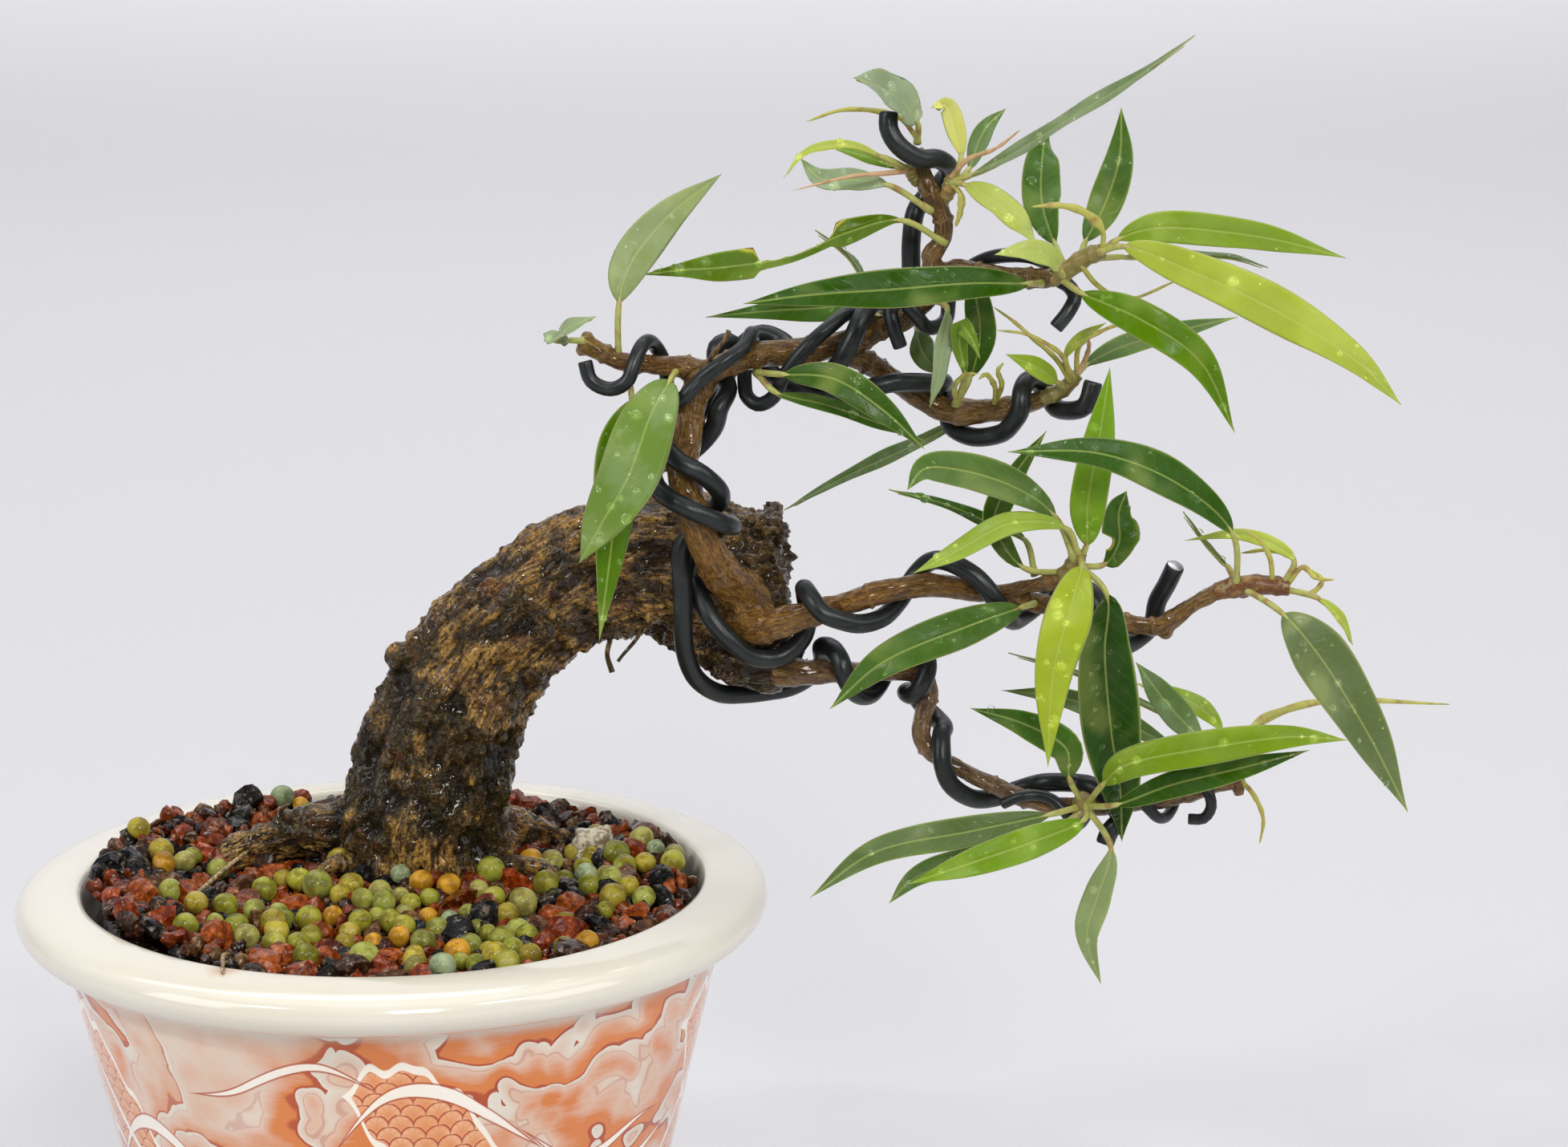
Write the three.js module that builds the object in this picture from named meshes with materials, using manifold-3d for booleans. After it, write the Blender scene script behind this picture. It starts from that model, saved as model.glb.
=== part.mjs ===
// Willow leaf fig bonsai in its glazed pot. Millimetres, +Z up, the viewer stands at -Y.
// The origin is on the pot's axis, in the plane that its foot stands on.

import * as THREE from 'three';
import { mergeVertices } from 'three/addons/utils/BufferGeometryUtils.js';
import Module from 'manifold-3d';

const wasm = await Module();
wasm.setup();

// Driving dimensions of the pot
const POT_HEIGHT = 85;
const RIM_RADIUS = 60;
const MOUTH_RADIUS = 50.2;
const FOOT_RADIUS = 34.5;
const WALL_TAPER = 0.23;
const WALL_TOP_RADIUS = 52.4;
const WALL_TOP = 74.5;
const WALL_THICKNESS = 4.2;
const FLOOR_THICKNESS = 7;
const DRAIN_RADIUS = 4;
const DRAIN_CIRCLE = 17;
const DRAINS = 3;
const POT_SIDES = 36;

// Driving dimensions of what grows and lies in it
const FIT_GAP = 0.3;
const THICK_WIRE = 1.5;
const MEDIUM_WIRE = 1.15;
const THIN_WIRE = 0.9;
const WIRE_CLEARANCE = 0.55;
const WIRE_STEP = 3.5;
const RIB_THICKNESS = 1.0;
const STALK_RADIUS = 0.55;
const SOIL_LEVEL = 79.2;
const SOIL_BOTTOM = FLOOR_THICKNESS + FIT_GAP;
const GRIT_STONES = 58;
const ROOT_TOP = 70;

const TOWARDS_VIEWER = new THREE.Vector3(0, -1, 0);
const UPWARDS = new THREE.Vector3(0, 0, 1);

// Small helpers: repeatable draws, solids and meshes

function draws(seed) {
  let state = seed;
  return () => {
    state = (state * 16807) % 2147483647;
    return state / 2147483647;
  };
}

function solid(geometry) {
  geometry.deleteAttribute('normal');
  geometry.deleteAttribute('uv');
  const merged = mergeVertices(geometry, 1e-4);
  const index = merged.index.array;
  const corners = [];
  for (let i = 0; i < index.length; i += 3) {
    const [a, b, c] = [index[i], index[i + 1], index[i + 2]];
    if (a !== b && b !== c && c !== a) corners.push(a, b, c);
  }
  const mesh = new wasm.Mesh({
    numProp: 3,
    vertProperties: new Float32Array(merged.attributes.position.array),
    triVerts: new Uint32Array(corners),
  });
  return new wasm.Manifold(mesh);
}

function reshape(geometry, place) {
  const position = geometry.attributes.position;
  const point = new THREE.Vector3();
  for (let i = 0; i < position.count; i += 1) {
    point.fromBufferAttribute(position, i);
    const moved = place(point);
    position.setXYZ(i, moved.x, moved.y, moved.z);
  }
  return geometry;
}

function joined(parts) {
  return wasm.Manifold.union(parts);
}

function largestBody(shape) {
  const bodies = shape.decompose();
  bodies.sort((a, b) => b.volume() - a.volume());
  return bodies[0];
}

const bonsai = new THREE.Group();

function addPiece(name, shape, colour, roughness, metalness = 0) {
  const body = largestBody(shape.simplify(0.03));
  const mesh = body.getMesh();
  const geometry = new THREE.BufferGeometry();
  geometry.setAttribute('position', new THREE.BufferAttribute(mesh.vertProperties, 3));
  geometry.setIndex(new THREE.BufferAttribute(mesh.triVerts, 1));
  geometry.computeVertexNormals();
  const material = new THREE.MeshStandardMaterial({ color: colour, roughness, metalness });
  const piece = new THREE.Mesh(geometry, material);
  piece.name = name;
  bonsai.add(piece);
}

// A limb is a tapered round stem through rows of [x, y, z, radius].
// Angles round it start at its front and grow towards the left of someone walking along it.

function limbOf(rows) {
  const points = rows.map((row) => new THREE.Vector3(row[0], row[1], row[2]));
  const curve = new THREE.CatmullRomCurve3(points);
  const radii = rows.map((row) => row[3]);
  const last = rows.length - 1;
  const radiusAt = (t) => {
    const place = Math.min(Math.max(t, 0), 1) * last;
    const before = Math.min(Math.floor(place), last - 1);
    return THREE.MathUtils.lerp(radii[before], radii[before + 1], place - before);
  };
  return { curve, radiusAt, last };
}

function frameAt(curve, t, facing) {
  const centre = curve.getPoint(t);
  const along = curve.getTangent(t);
  const side = new THREE.Vector3().crossVectors(along, facing).normalize();
  const front = new THREE.Vector3().crossVectors(side, along).normalize();
  return { centre, along, side, front };
}

function limb(rows, options = {}) {
  const { sides = 8, steps = rows.length * 2, extra = 0, depth = 1, relief = null, chop = null } = options;
  const facing = options.facing ?? TOWARDS_VIEWER;
  const { curve, radiusAt } = limbOf(rows);
  const tube = new THREE.CylinderGeometry(1, 1, 1, sides, steps);
  return solid(reshape(tube, ({ x, y, z }) => {
    const t = y + 0.5;
    const { centre, along, side, front } = frameAt(curve, t, facing);
    const angle = Math.atan2(-x, z);
    const bulge = relief ? relief(angle, t) : 1;
    const radius = radiusAt(t) * bulge + extra;
    if (t <= 0) centre.addScaledVector(along, -extra);
    if (t >= 1) centre.addScaledVector(along, extra + (chop ? chop(angle) * Math.hypot(x, z) : 0));
    return centre.addScaledVector(side, x * radius).addScaledVector(front, z * radius * depth);
  }));
}

// Pot: a lathe-turned bowl with a rolled lip, a flat foot and three drain holes

function buildPot() {
  const wallAt = (z) => WALL_TOP_RADIUS - WALL_TAPER * (WALL_TOP - z);
  const profile = [
    [0, 0],
    [FOOT_RADIUS, 0],
    [wallAt(1.2) + 0.2, 1.2],
    [WALL_TOP_RADIUS, WALL_TOP],
    [WALL_TOP_RADIUS + 1.4, 76.6],
    [RIM_RADIUS - 3.4, 77.6],
    [RIM_RADIUS - 1, 79.2],
    [RIM_RADIUS, 81.4],
    [RIM_RADIUS - 0.8, 83.2],
    [RIM_RADIUS - 3.2, 84.4],
    [RIM_RADIUS - 6.2, POT_HEIGHT],
    [MOUTH_RADIUS + 0.8, POT_HEIGHT],
    [MOUTH_RADIUS - 0.6, POT_HEIGHT - 0.9],
    [innerRadius(78), 78],
    [innerRadius(FLOOR_THICKNESS + 3), FLOOR_THICKNESS + 3],
    [innerRadius(FLOOR_THICKNESS) - 3, FLOOR_THICKNESS],
    [0, FLOOR_THICKNESS],
  ];
  const outline = profile.map(([r, z]) => new THREE.Vector2(r, z));
  const bowl = solid(new THREE.LatheGeometry(outline, POT_SIDES).rotateX(Math.PI / 2));
  const holes = [];
  for (let i = 0; i < DRAINS; i += 1) {
    const turn = (2 * Math.PI * (i + 0.5)) / DRAINS;
    const drill = new THREE.CylinderGeometry(DRAIN_RADIUS, DRAIN_RADIUS, FLOOR_THICKNESS * 3, 12);
    drill.rotateX(Math.PI / 2);
    drill.translate(DRAIN_CIRCLE * Math.cos(turn), DRAIN_CIRCLE * Math.sin(turn), 0);
    holes.push(solid(drill));
  }
  return bowl.subtract(joined(holes));
}

function innerRadius(z) {
  return WALL_TOP_RADIUS - WALL_THICKNESS - WALL_TAPER * (WALL_TOP - Math.min(z, 78));
}

// Trunk: leans out of the pot, arches to the right and ends in a chopped face

const TRUNK = [
  [4, 12, ROOT_TOP, 12.6], [3.2, 12, 84, 15.4], [4, 11.7, 91.5, 14.6], [5.8, 11, 99, 13.1],
  [8.4, 10, 107, 12.1], [11.8, 9, 115.2, 11.5], [17, 8, 122.4, 10.6], [25.5, 7.5, 129.2, 10.4],
  [34.5, 7, 133.4, 10.8], [43.5, 7, 134.2, 11.5], [51, 7, 132, 12.6], [57.5, 7, 129.8, 13.5],
  [62.2, 7, 129.6, 12.6],
];
const TRUNK_DEPTH = 0.88;
const TRUNK_SIDES = 15;
const TRUNK_STEPS = 22;

function barkRelief(angle, t) {
  const flutes = 0.035 * Math.sin(3 * angle + 9 * t) + 0.03 * Math.sin(5 * angle - 21 * t);
  const knots = 0.028 * Math.sin(2 * angle + 37 * t) + 0.02 * Math.sin(7 * angle + 15 * t);
  const flare = 0.1 * Math.max(0, 1 - t / 0.22) * Math.cos(5 * angle + 0.6);
  return 1 + flutes + knots + flare;
}

function choppedEnd(angle) {
  return 1.3 * Math.cos(2 * angle + 0.8) - 1.1 * Math.sin(angle) + 0.8 * Math.sin(5 * angle);
}

const ROOTS = [
  [[-2, 12, 88, 7], [-12, 11, 88.6, 4.6], [-20, 10, 87.6, 3.2], [-27, 9, 85.4, 2.4], [-33, 8, 82, 1.5]],
  [[10, 15, 87, 6.5], [19, 21, 85.2, 4], [26, 26, 82, 2.4]],
  [[2, 20, 87, 6.5], [0, 30, 84.4, 4], [-4, 37, 80.5, 2.2]],
];

// Woody limbs, each row [x, y, z, radius]

const LEADER = [
  [58, -3, 130, 4.4], [53.6, -9, 135.5, 3.5], [51.1, -13, 140.5, 3.4], [49.3, -14.5, 145, 3.2],
  [48, -14, 149, 3.1], [47, -12, 153, 2.9], [47.5, -10, 156, 2.7], [48, -8, 159.5, 2.5],
  [48.5, -6, 163, 2.4], [50.5, -5, 167, 2.3],
];
const LEFT_TWIG = [
  [51, -5, 167.2, 2.1], [47, -4.2, 168, 1.7], [40.5, -4, 168.5, 1.7], [37, -4, 169, 1.8],
  [34, -4, 170.5, 1.6], [31, -4, 172, 1.5],
];
const RIGHT = [
  [49.5, -5, 166.5, 2.2], [53.5, -5, 168.5, 2], [58.5, -4.5, 170, 2.1], [65.5, -4, 170.5, 2.1],
  [73, -3.5, 172, 2], [78, -3, 174, 1.9], [81.5, -3, 175.5, 1.8], [84, -3, 178, 1.7],
  [86, -3, 181.5, 1.5],
];
const APEX = [
  [84, -3, 177, 1.6], [85, -3, 182, 1.3], [85.5, -3, 185.5, 1.3], [87, -3, 188, 1.5],
  [87, -3, 190.5, 1.5], [86, -3, 193, 1.6], [84.5, -3, 196, 1.6], [83.5, -2, 199, 1.3],
  [83, -2, 201.5, 1.1],
];
const RIGHT_TWIG = [
  [85, -3, 182, 1.3], [89, -4, 183.5, 1.3], [93.5, -6, 183, 1.4], [98.5, -8, 182.5, 1.6],
  [102, -9, 182.5, 1.6], [104, -9.7, 183, 1.4],
];
const SIDE = [
  [70.5, -3, 171, 1.9], [75, -1, 168.5, 1.8], [78.5, 1, 166, 1.8], [82.5, 2, 163, 1.8],
  [87, 2, 160.5, 2], [91, 1, 160, 2], [95.5, 0, 160.5, 1.9], [100, -1, 161.5, 1.5],
  [103.5, -2, 163, 1.3],
];
const MIDDLE = [
  [56, -5, 127.5, 3.2], [60, -10, 128.5, 2.9], [65.5, -13, 130.5, 2.1], [71.5, -14, 132.5, 1.8],
  [77.5, -14, 134.5, 1.9], [85, -13, 135.5, 1.9], [91, -12, 134.5, 1.8], [96.5, -11, 133.5, 1.5],
  [101.5, -10, 132, 1.6], [108, -9, 130.5, 1.6], [115.5, -9, 128.5, 1.5], [120.5, -9, 128, 1.5],
  [123.5, -9.5, 129.5, 1.5], [126.5, -10, 132, 1.3], [130, -11, 134, 1.4],
];
const MIDDLE_TWIG = [
  [94.5, -11.5, 133.5, 1.1], [98, -12, 134.5, 1.1], [102.5, -12.5, 135.5, 1.2], [105, -12.8, 136.5, 1.2],
];
const LOWER = [
  [57.5, 0.5, 123, 3.6], [61, -5.5, 120.4, 2.8], [65.5, -7, 120, 2.2], [70, -6, 120, 1.9],
  [74.5, -5, 119.5, 1.7], [79.5, -4, 119.5, 1.6], [83, -3, 119, 1.6], [85, -3, 117.5, 1.6],
  [85.5, -3, 115.5, 1.5], [84.5, -3.5, 111.5, 1.6], [84.5, -4, 108.5, 1.5], [87, -4.5, 105.5, 1.4],
  [90, -5, 104, 1.3], [95.5, -6, 101.5, 1.4], [100.5, -7, 99.5, 1.4], [105.5, -8, 98.5, 1.4],
  [111, -8, 98.5, 1.5], [117.5, -7, 98.5, 1.3], [124, -6, 99, 1.2], [129.5, -5, 100.5, 1.1],
  [134, -4.2, 101.2, 1.1],
];
const LIMB_SIDES = 6;
const LIMBS = [LEADER, LEFT_TWIG, RIGHT, APEX, RIGHT_TWIG, SIDE, MIDDLE, MIDDLE_TWIG, LOWER];

// Knobs and cut stubs on the bark, each [x, y, z, radius]
const KNOBS = [
  [1.6, 5.5, 119, 2.6], [4.4, 5, 122.4, 2.2], [59.6, 3, 141, 1.9], [58.5, -6.3, 169.4, 1.5],
  [133.5, -10.5, 134.6, 1.5], [122, -9.2, 127, 1.3],
];

function trunkSolid(extra) {
  const parts = [limb(TRUNK, {
    sides: TRUNK_SIDES, steps: TRUNK_STEPS, extra, depth: TRUNK_DEPTH, relief: barkRelief, chop: choppedEnd,
  })];
  for (const root of ROOTS) parts.push(limb(root, { sides: 6, steps: 4, extra, facing: UPWARDS }));
  return joined(parts);
}

function barkedLimbs(extra) {
  return LIMBS.map((rows) => limb(rows, { sides: LIMB_SIDES, steps: Math.round(rows.length * 1.15), extra }));
}

function knob([x, y, z, radius]) {
  const lump = new THREE.IcosahedronGeometry(radius, 0);
  return solid(lump.translate(x, y, z));
}

function buildWood() {
  return joined([trunkSolid(0), ...barkedLimbs(0), ...KNOBS.map(knob)]);
}

// Soil: a mounded bed of lava grit and round feed pellets, with a plain hole for the trunk

const PELLET_HEAPS = [
  { x: 2, y: -23, across: 17, deep: 9, count: 19 },
  { x: 34, y: 3, across: 8, deep: 13, count: 12 },
  { x: -25, y: -10, across: 10, deep: 11, count: 6 },
  { x: -4, y: -37, across: 19, deep: 5, count: 5 },
  { x: -12, y: 33, across: 24, deep: 7, count: 6 },
];

function soilTop(x, y) {
  const left = THREE.MathUtils.smoothstep(-x, 5, 48);
  const mound = Math.exp(-((x - 4) ** 2 + (y - 10) ** 2) / 600);
  const ripple = 0.35 * Math.sin(0.31 * x + 0.7) * Math.cos(0.27 * y);
  return SOIL_LEVEL + 3.6 * left + 5.6 * mound + ripple;
}

function soilBed() {
  const wall = (z) => innerRadius(z) - FIT_GAP - 0.15;
  const rings = [[0, SOIL_BOTTOM], [wall(10) - 4, SOIL_BOTTOM], [wall(12), 12], [wall(76), 76]];
  for (const r of [wall(78), 38, 28, 17, 0]) rings.push([r, SOIL_LEVEL]);
  const outline = rings.map(([r, z]) => new THREE.Vector2(r, z));
  const bed = new THREE.LatheGeometry(outline, 24).rotateX(Math.PI / 2);
  return solid(reshape(bed, (p) => (p.z < 77 ? p.clone() : p.clone().setZ(soilTop(p.x, p.y)))));
}

function grain(x, y, z, radius, draw, stretch) {
  const shape = new THREE.OctahedronGeometry(radius, 0);
  shape.scale(1 + stretch * (draw() - 0.5), 1 + stretch * (draw() - 0.5), 1 + stretch * (draw() - 0.5));
  shape.rotateX(6.283 * draw());
  shape.rotateZ(6.283 * draw());
  return solid(shape.translate(x, y, z));
}

function lavaGrit() {
  const draw = draws(41);
  const stones = [];
  for (let i = 0; i < GRIT_STONES; i += 1) {
    const radius = 44.2 * Math.sqrt((i + 0.5) / GRIT_STONES);
    const turn = i * 2.39996 + 0.5 * (draw() - 0.5);
    const x = radius * Math.cos(turn);
    const y = radius * Math.sin(turn);
    const size = 3.3 + 1.3 * draw();
    stones.push(grain(x, y, soilTop(x, y) + 0.1 * size, size, draw, 0.45));
  }
  return stones;
}

function feedPellets() {
  const draw = draws(77);
  const pellets = [];
  for (const heap of PELLET_HEAPS) {
    for (let i = 0; i < heap.count; i += 1) {
      const reach = Math.sqrt((i + 0.5) / heap.count);
      const turn = i * 2.39996 + 0.8 * (draw() - 0.5);
      const x = heap.x + heap.across * reach * Math.cos(turn);
      const y = heap.y + heap.deep * reach * Math.sin(turn);
      const size = 2.1 + 0.4 * draw();
      if (Math.hypot(x, y) + size < 47) {
        pellets.push(grain(x, y, soilTop(x, y) + 1.4, size, draw, 0.12));
      }
    }
  }
  return pellets;
}

function buildSoil() {
  const heap = joined([soilBed(), ...lavaGrit(), ...feedPellets()]);
  const mouth = new THREE.CylinderGeometry(MOUTH_RADIUS - 1.4, 32, POT_HEIGHT + 5, 40);
  mouth.rotateX(Math.PI / 2);
  const kept = heap.intersect(solid(mouth.translate(0, 0, (POT_HEIGHT + 5) / 2)));
  return kept.subtract(trunkSolid(FIT_GAP * 1.2));
}

// Training wires: wound() follows a limb at its bark, free stretches are listed by hand.
// A knot is [place along the limb's rows, angle round it in degrees, extra lift].

function wound(rows, knots, wireRadius) {
  const { curve, radiusAt, last } = limbOf(rows);
  const points = [];
  for (let k = 0; k + 1 < knots.length; k += 1) {
    const [placeA, angleA, liftA = 0] = knots[k];
    const [placeB, angleB, liftB = 0] = knots[k + 1];
    const count = Math.max(1, Math.round(Math.abs(angleB - angleA) / 40));
    for (let i = k === 0 ? 0 : 1; i <= count; i += 1) {
      const mix = i / count;
      const t = THREE.MathUtils.lerp(placeA, placeB, mix) / last;
      const angle = THREE.MathUtils.degToRad(THREE.MathUtils.lerp(angleA, angleB, mix));
      const lift = THREE.MathUtils.lerp(liftA, liftB, mix);
      const { centre, side, front } = frameAt(curve, t, TOWARDS_VIEWER);
      const reach = radiusAt(t) + WIRE_CLEARANCE + wireRadius + lift;
      centre.addScaledVector(front, reach * Math.cos(angle));
      centre.addScaledVector(side, -reach * Math.sin(angle));
      points.push(centre);
    }
  }
  return points;
}

function free(...rows) {
  return rows.map(([x, y, z]) => new THREE.Vector3(x, y, z));
}

function wire(points, radius, sides = 6) {
  const path = new THREE.CatmullRomCurve3(points);
  const ring = [];
  for (let i = 0; i < sides; i += 1) {
    const angle = (2 * Math.PI * i) / sides;
    ring.push(new THREE.Vector2(radius * Math.cos(angle), radius * Math.sin(angle)));
  }
  const steps = Math.round(path.getLength() / WIRE_STEP);
  const section = new THREE.Shape(ring);
  return solid(new THREE.ExtrudeGeometry(section, { steps, extrudePath: path }));
}

function longLowerWire() {
  return [
    ...free([78.5, -6, 207.5], [78.5, -6.5, 205], [80, -7, 202.5], [83, -6.5, 200.5], [86, -4.4, 200.2],
      [88, -0.6, 198.2], [86.6, 2, 195.5], [84.5, 2.5, 193.5], [83, 1.8, 191.5], [82.3, 1, 187],
      [82.3, 1.2, 182], [82, 2, 178.5]),
    ...wound(RIGHT, [[5.5, 150], [4.9, 90], [3.9, 0], [3.3, -80]], THICK_WIRE),
    ...free([64, 1.5, 168.8], [62.5, 5, 170.5], [59, 6.5, 171.5], [56, 7, 169.5], [54, 5.6, 166.4],
      [53, 2.8, 163.6]),
    ...wound(LEADER, [[8.1, -145], [7.4, -195], [5.9, -275], [5, -360], [4, -450, 0.3], [3.2, -520, 0.5]],
      THICK_WIRE),
    ...free([46.8, -9.8, 140.4], [46.8, -10, 135.2], [46.9, -9.6, 130], [47.6, -7.4, 124], [49.6, -4, 119],
      [52.8, -1.2, 115.8], [56.4, 0, 115], [60, 0.4, 115], [63.6, 0.9, 115.6], [66.6, 0.6, 117.4],
      [68.6, -0.8, 120]),
    ...wound(LOWER, [[2.8, 115], [3.3, 0], [4.3, -90], [5.2, -180], [6, -270], [6.7, -360], [7.7, -450],
      [8.6, -540], [9.3, -625], [10.2, -655], [11.4, -720], [12.7, -810], [13.7, -900], [14.5, -962],
      [15.7, -968, 0.2], [16.3, -1035], [16.6, -1100]], THICK_WIRE),
    ...free([113.8, -10.8, 95.2], [113, -11.2, 93.2]),
  ];
}

function longMiddleWire() {
  return [
    ...free([110.5, -4.5, 165.8], [109.2, -4.8, 162]),
    ...wound(SIDE, [[8, 590], [7.5, 450], [7, 360], [6.2, 300], [5.2, 265], [4.4, 225], [4, 160], [3.6, 70]],
      THICK_WIRE),
    ...free([79.5, -4, 165.5], [75.5, -4.2, 164.6], [71, -3.2, 163.4], [67, -1.4, 163.2], [63.5, 1.2, 164.2],
      [60, 3.2, 166.2], [56.4, 3, 168.2], [54, 1.4, 171], [52.2, 0, 170.4], [52.2, -0.8, 167.4],
      [53.9, -3.2, 164.6]),
    ...wound(LEADER, [[8, -85], [7.2, -118], [6.4, -165], [5, -265], [3.7, -360], [2.6, -450, 0.1], [2, -515, 0.6]],
      THICK_WIRE),
    ...free([48.4, -6.8, 135.5], [49.8, -8.6, 132], [51.6, -10.2, 129], [54.4, -10.8, 125.9],
      [58, -10, 123.2], [62, -9, 123], [65.2, -8.2, 125.4], [66.3, -7.8, 128.4]),
    ...wound(MIDDLE, [[2.1, 135], [2.6, 10], [3.3, -55], [3.9, -95], [4.4, -140], [4.8, -190], [5.3, -270],
      [6, -312], [6.6, -360], [7.6, -450], [8.4, -540], [9.1, -630], [9.6, -720], [10.1, -805],
      [10.9, -890]], THICK_WIRE),
    ...free([121, -5.4, 131], [122.3, -6.4, 134], [123.5, -7.8, 137.4]),
  ];
}

function leftTwigWire() {
  return free([32, -7.5, 169.5], [33, -8, 166.5], [36, -8.5, 165.3], [38.5, -8.5, 166.5], [39.5, -8, 169],
    [40.5, -6.5, 171.3], [41.5, -4, 172], [42.5, -1.4, 171], [43.8, -0.4, 168.5], [44.4, -2, 165.7],
    [44, -6, 162.8], [46.8, -10.5, 164], [50.2, -10, 167.4], [53.5, -9.8, 169.8], [56.5, -8, 171.8],
    [57.6, -4.8, 173.4], [57.6, -1, 171.4], [56.6, -0.4, 168], [56.5, -2.8, 165.2], [56.9, -4.4, 163.4],
    [58.6, -5.6, 162.4], [60.8, -6.8, 163.6], [62.5, -8, 167], [64.5, -8.6, 170], [67, -8.2, 172.7],
    [69.8, -6.4, 174.8], [72, -3.7, 176.1], [73.8, -0.9, 175.8]);
}

function rightTwigWire() {
  return [
    ...free([80.5, -7.4, 171.6], [79.5, -7.3, 174.5], [79, -6.4, 177.2], [80.5, -6.6, 178.8],
      [82.5, -7.2, 177], [84.5, -6.4, 174.6], [87.6, -2.2, 175], [88.4, 1, 178.5], [90, 1, 181.5]),
    ...wound(RIGHT_TWIG, [[1.7, 150], [2.6, 105], [3.5, 95], [4.1, 150], [4.6, 200]], MEDIUM_WIRE),
    ...free([106, -7.2, 181.2], [107, -8.5, 179.6], [106, -9.5, 177.5], [104, -10, 175]),
  ];
}

function thinLowerWire() {
  return [
    ...wound(LOWER, [[13.5, -35], [13.9, 15], [14.4, 38], [14.9, 34], [15.25, 0], [15.6, -75], [16.2, -180],
      [16.8, -270], [17.3, -360], [17.8, -450], [18.3, -540, 0.2], [18.6, -600, 0.4]], THIN_WIRE),
    ...free([129.2, -7.9, 101.2], [130, -8.3, 98.6], [128.9, -7.7, 96.4], [126.5, -7.3, 96.2]),
  ];
}

// Leaves: a row is [kind, width, facing, bite, points]. Its first point is the foot of the stalk,
// the second is where the blade starts and the last is the tip, all on the midrib.
// A bite is [side, from, to, depth] in shares of the blade's length and half width.

const BLADE_STATIONS = [0.08, 0.25, 0.48, 0.72, 0.9];
const SLIM_STATIONS = [0.3, 0.65];
const SLIM_KINDS = ['roll', 'stipule'];
const BITE_EDGE = 0.02;

function bladeHalfWidth(share, width, kind) {
  if (SLIM_KINDS.includes(kind)) return 0.5 * width * (1 - 0.6 * share);
  const fullness = Math.sin(Math.PI * Math.min(share, 1) ** 0.82);
  return 0.5 * width * Math.max(fullness, 0) ** 0.8;
}

function leaf([kind, width, facing, bite, points]) {
  const curve = new THREE.CatmullRomCurve3(points.map((p) => new THREE.Vector3(...p)));
  const bladeStart = 1 / (points.length - 1);
  const slim = SLIM_KINDS.includes(kind);
  const stations = [0, bladeStart * 0.98];
  const shares = slim ? [...SLIM_STATIONS] : [...BLADE_STATIONS];
  if (bite.length) shares.push(bite[1] - BITE_EDGE, bite[1] + BITE_EDGE, bite[2] - BITE_EDGE, bite[2] + BITE_EDGE);
  shares.sort((a, b) => a - b);
  for (const share of shares) stations.push(bladeStart + share * (1 - bladeStart));
  stations.push(1);
  const normal = new THREE.Vector3(...facing).normalize();
  const spans = stations.length - 1;
  const tube = new THREE.CylinderGeometry(1, 1, 1, slim ? 3 : 4, spans);
  return solid(reshape(tube, ({ x, y, z }) => {
    const t = stations[Math.round((y + 0.5) * spans)];
    const share = Math.max(0, (t - bladeStart) / (1 - bladeStart));
    const { centre, side, front } = frameAt(curve, t, normal);
    let half = STALK_RADIUS;
    if (share > 0) half = Math.max(bladeHalfWidth(share, width, kind), slim ? 0.35 : 0.3);
    const lift = share > 0 && !slim ? 0.16 * half : 0;
    if (bite.length && Math.sign(x) === bite[0] && share > bite[1] && share < bite[2]) {
      half = Math.max(half * (1 - bite[3]), 0.3);
    }
    const thick = slim ? Math.min(half, 0.45) : RIB_THICKNESS / 2;
    if (t >= 1) return centre;
    centre.addScaledVector(side, x * half);
    return centre.addScaledVector(front, z * thick + Math.abs(x) * lift);
  }));
}

const APEX_TIP_LEAVES = [
  ['pale', 5.7, [0.1, -0.8, 0.6], [],
    [[83, -2, 203], [83, -3, 205.5], [80.5, -6, 209], [77, -10, 211.5], [73, -15, 213.5]]],
  ['roll', 1.1, [0, -1, 0.2], [],
    [[83, -2, 203], [80.5, -1, 206], [77, 0, 207], [71.5, 2, 207], [66, 4, 205]]],
];
const APEX_SIDE_LEAVES = [
  ['young', 3.2, [0, -1, 0.2], [],
    [[88.6, -4.8, 197.2], [89.6, -5, 200.6], [88.8, -3, 204.5], [87.5, -1, 208], [85, -4, 208]]],
  ['dull', 3.1, [0, -1, 0.2], [],
    [[89, -4.2, 196.8], [91, -1.8, 198.4], [92.4, 1, 201.8], [94, 3, 204.5], [97, 5, 207]]],
  ['dull', 4.4, [-0.4, -0.45, 0.8], [],
    [[88.5, -5, 197], [91, -7, 198], [98.5, -11, 202.5], [105.5, -15, 207.5], [114, -20, 213.5],
      [122.5, -25, 220.5]]],
  ['young', 4.6, [0.3, -0.9, 0.4], [],
    [[88, -5, 196.6], [90, -7, 196.6], [94.5, -10, 194.5], [98, -13, 191.5], [100.5, -15, 188.5]]],
  ['stipule', 1, [0, -1, 0.2], [],
    [[88, -5, 197.4], [90.5, -8, 200.5], [94.5, -11, 202.5], [98, -13, 205.5]]],
  ['roll', 1.4, [0, -1, 0.2], [],
    [[88, -5, 196.6], [89.5, -6.5, 195], [89.5, -6.5, 192.5], [88.8, -6.2, 190]]],
];
const APEX_SIDE_STEM = [[87.4, -3.4, 194.4, 1.1], [88, -4.2, 196, 1.2], [88.4, -4.6, 197.6, 1]];
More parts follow.
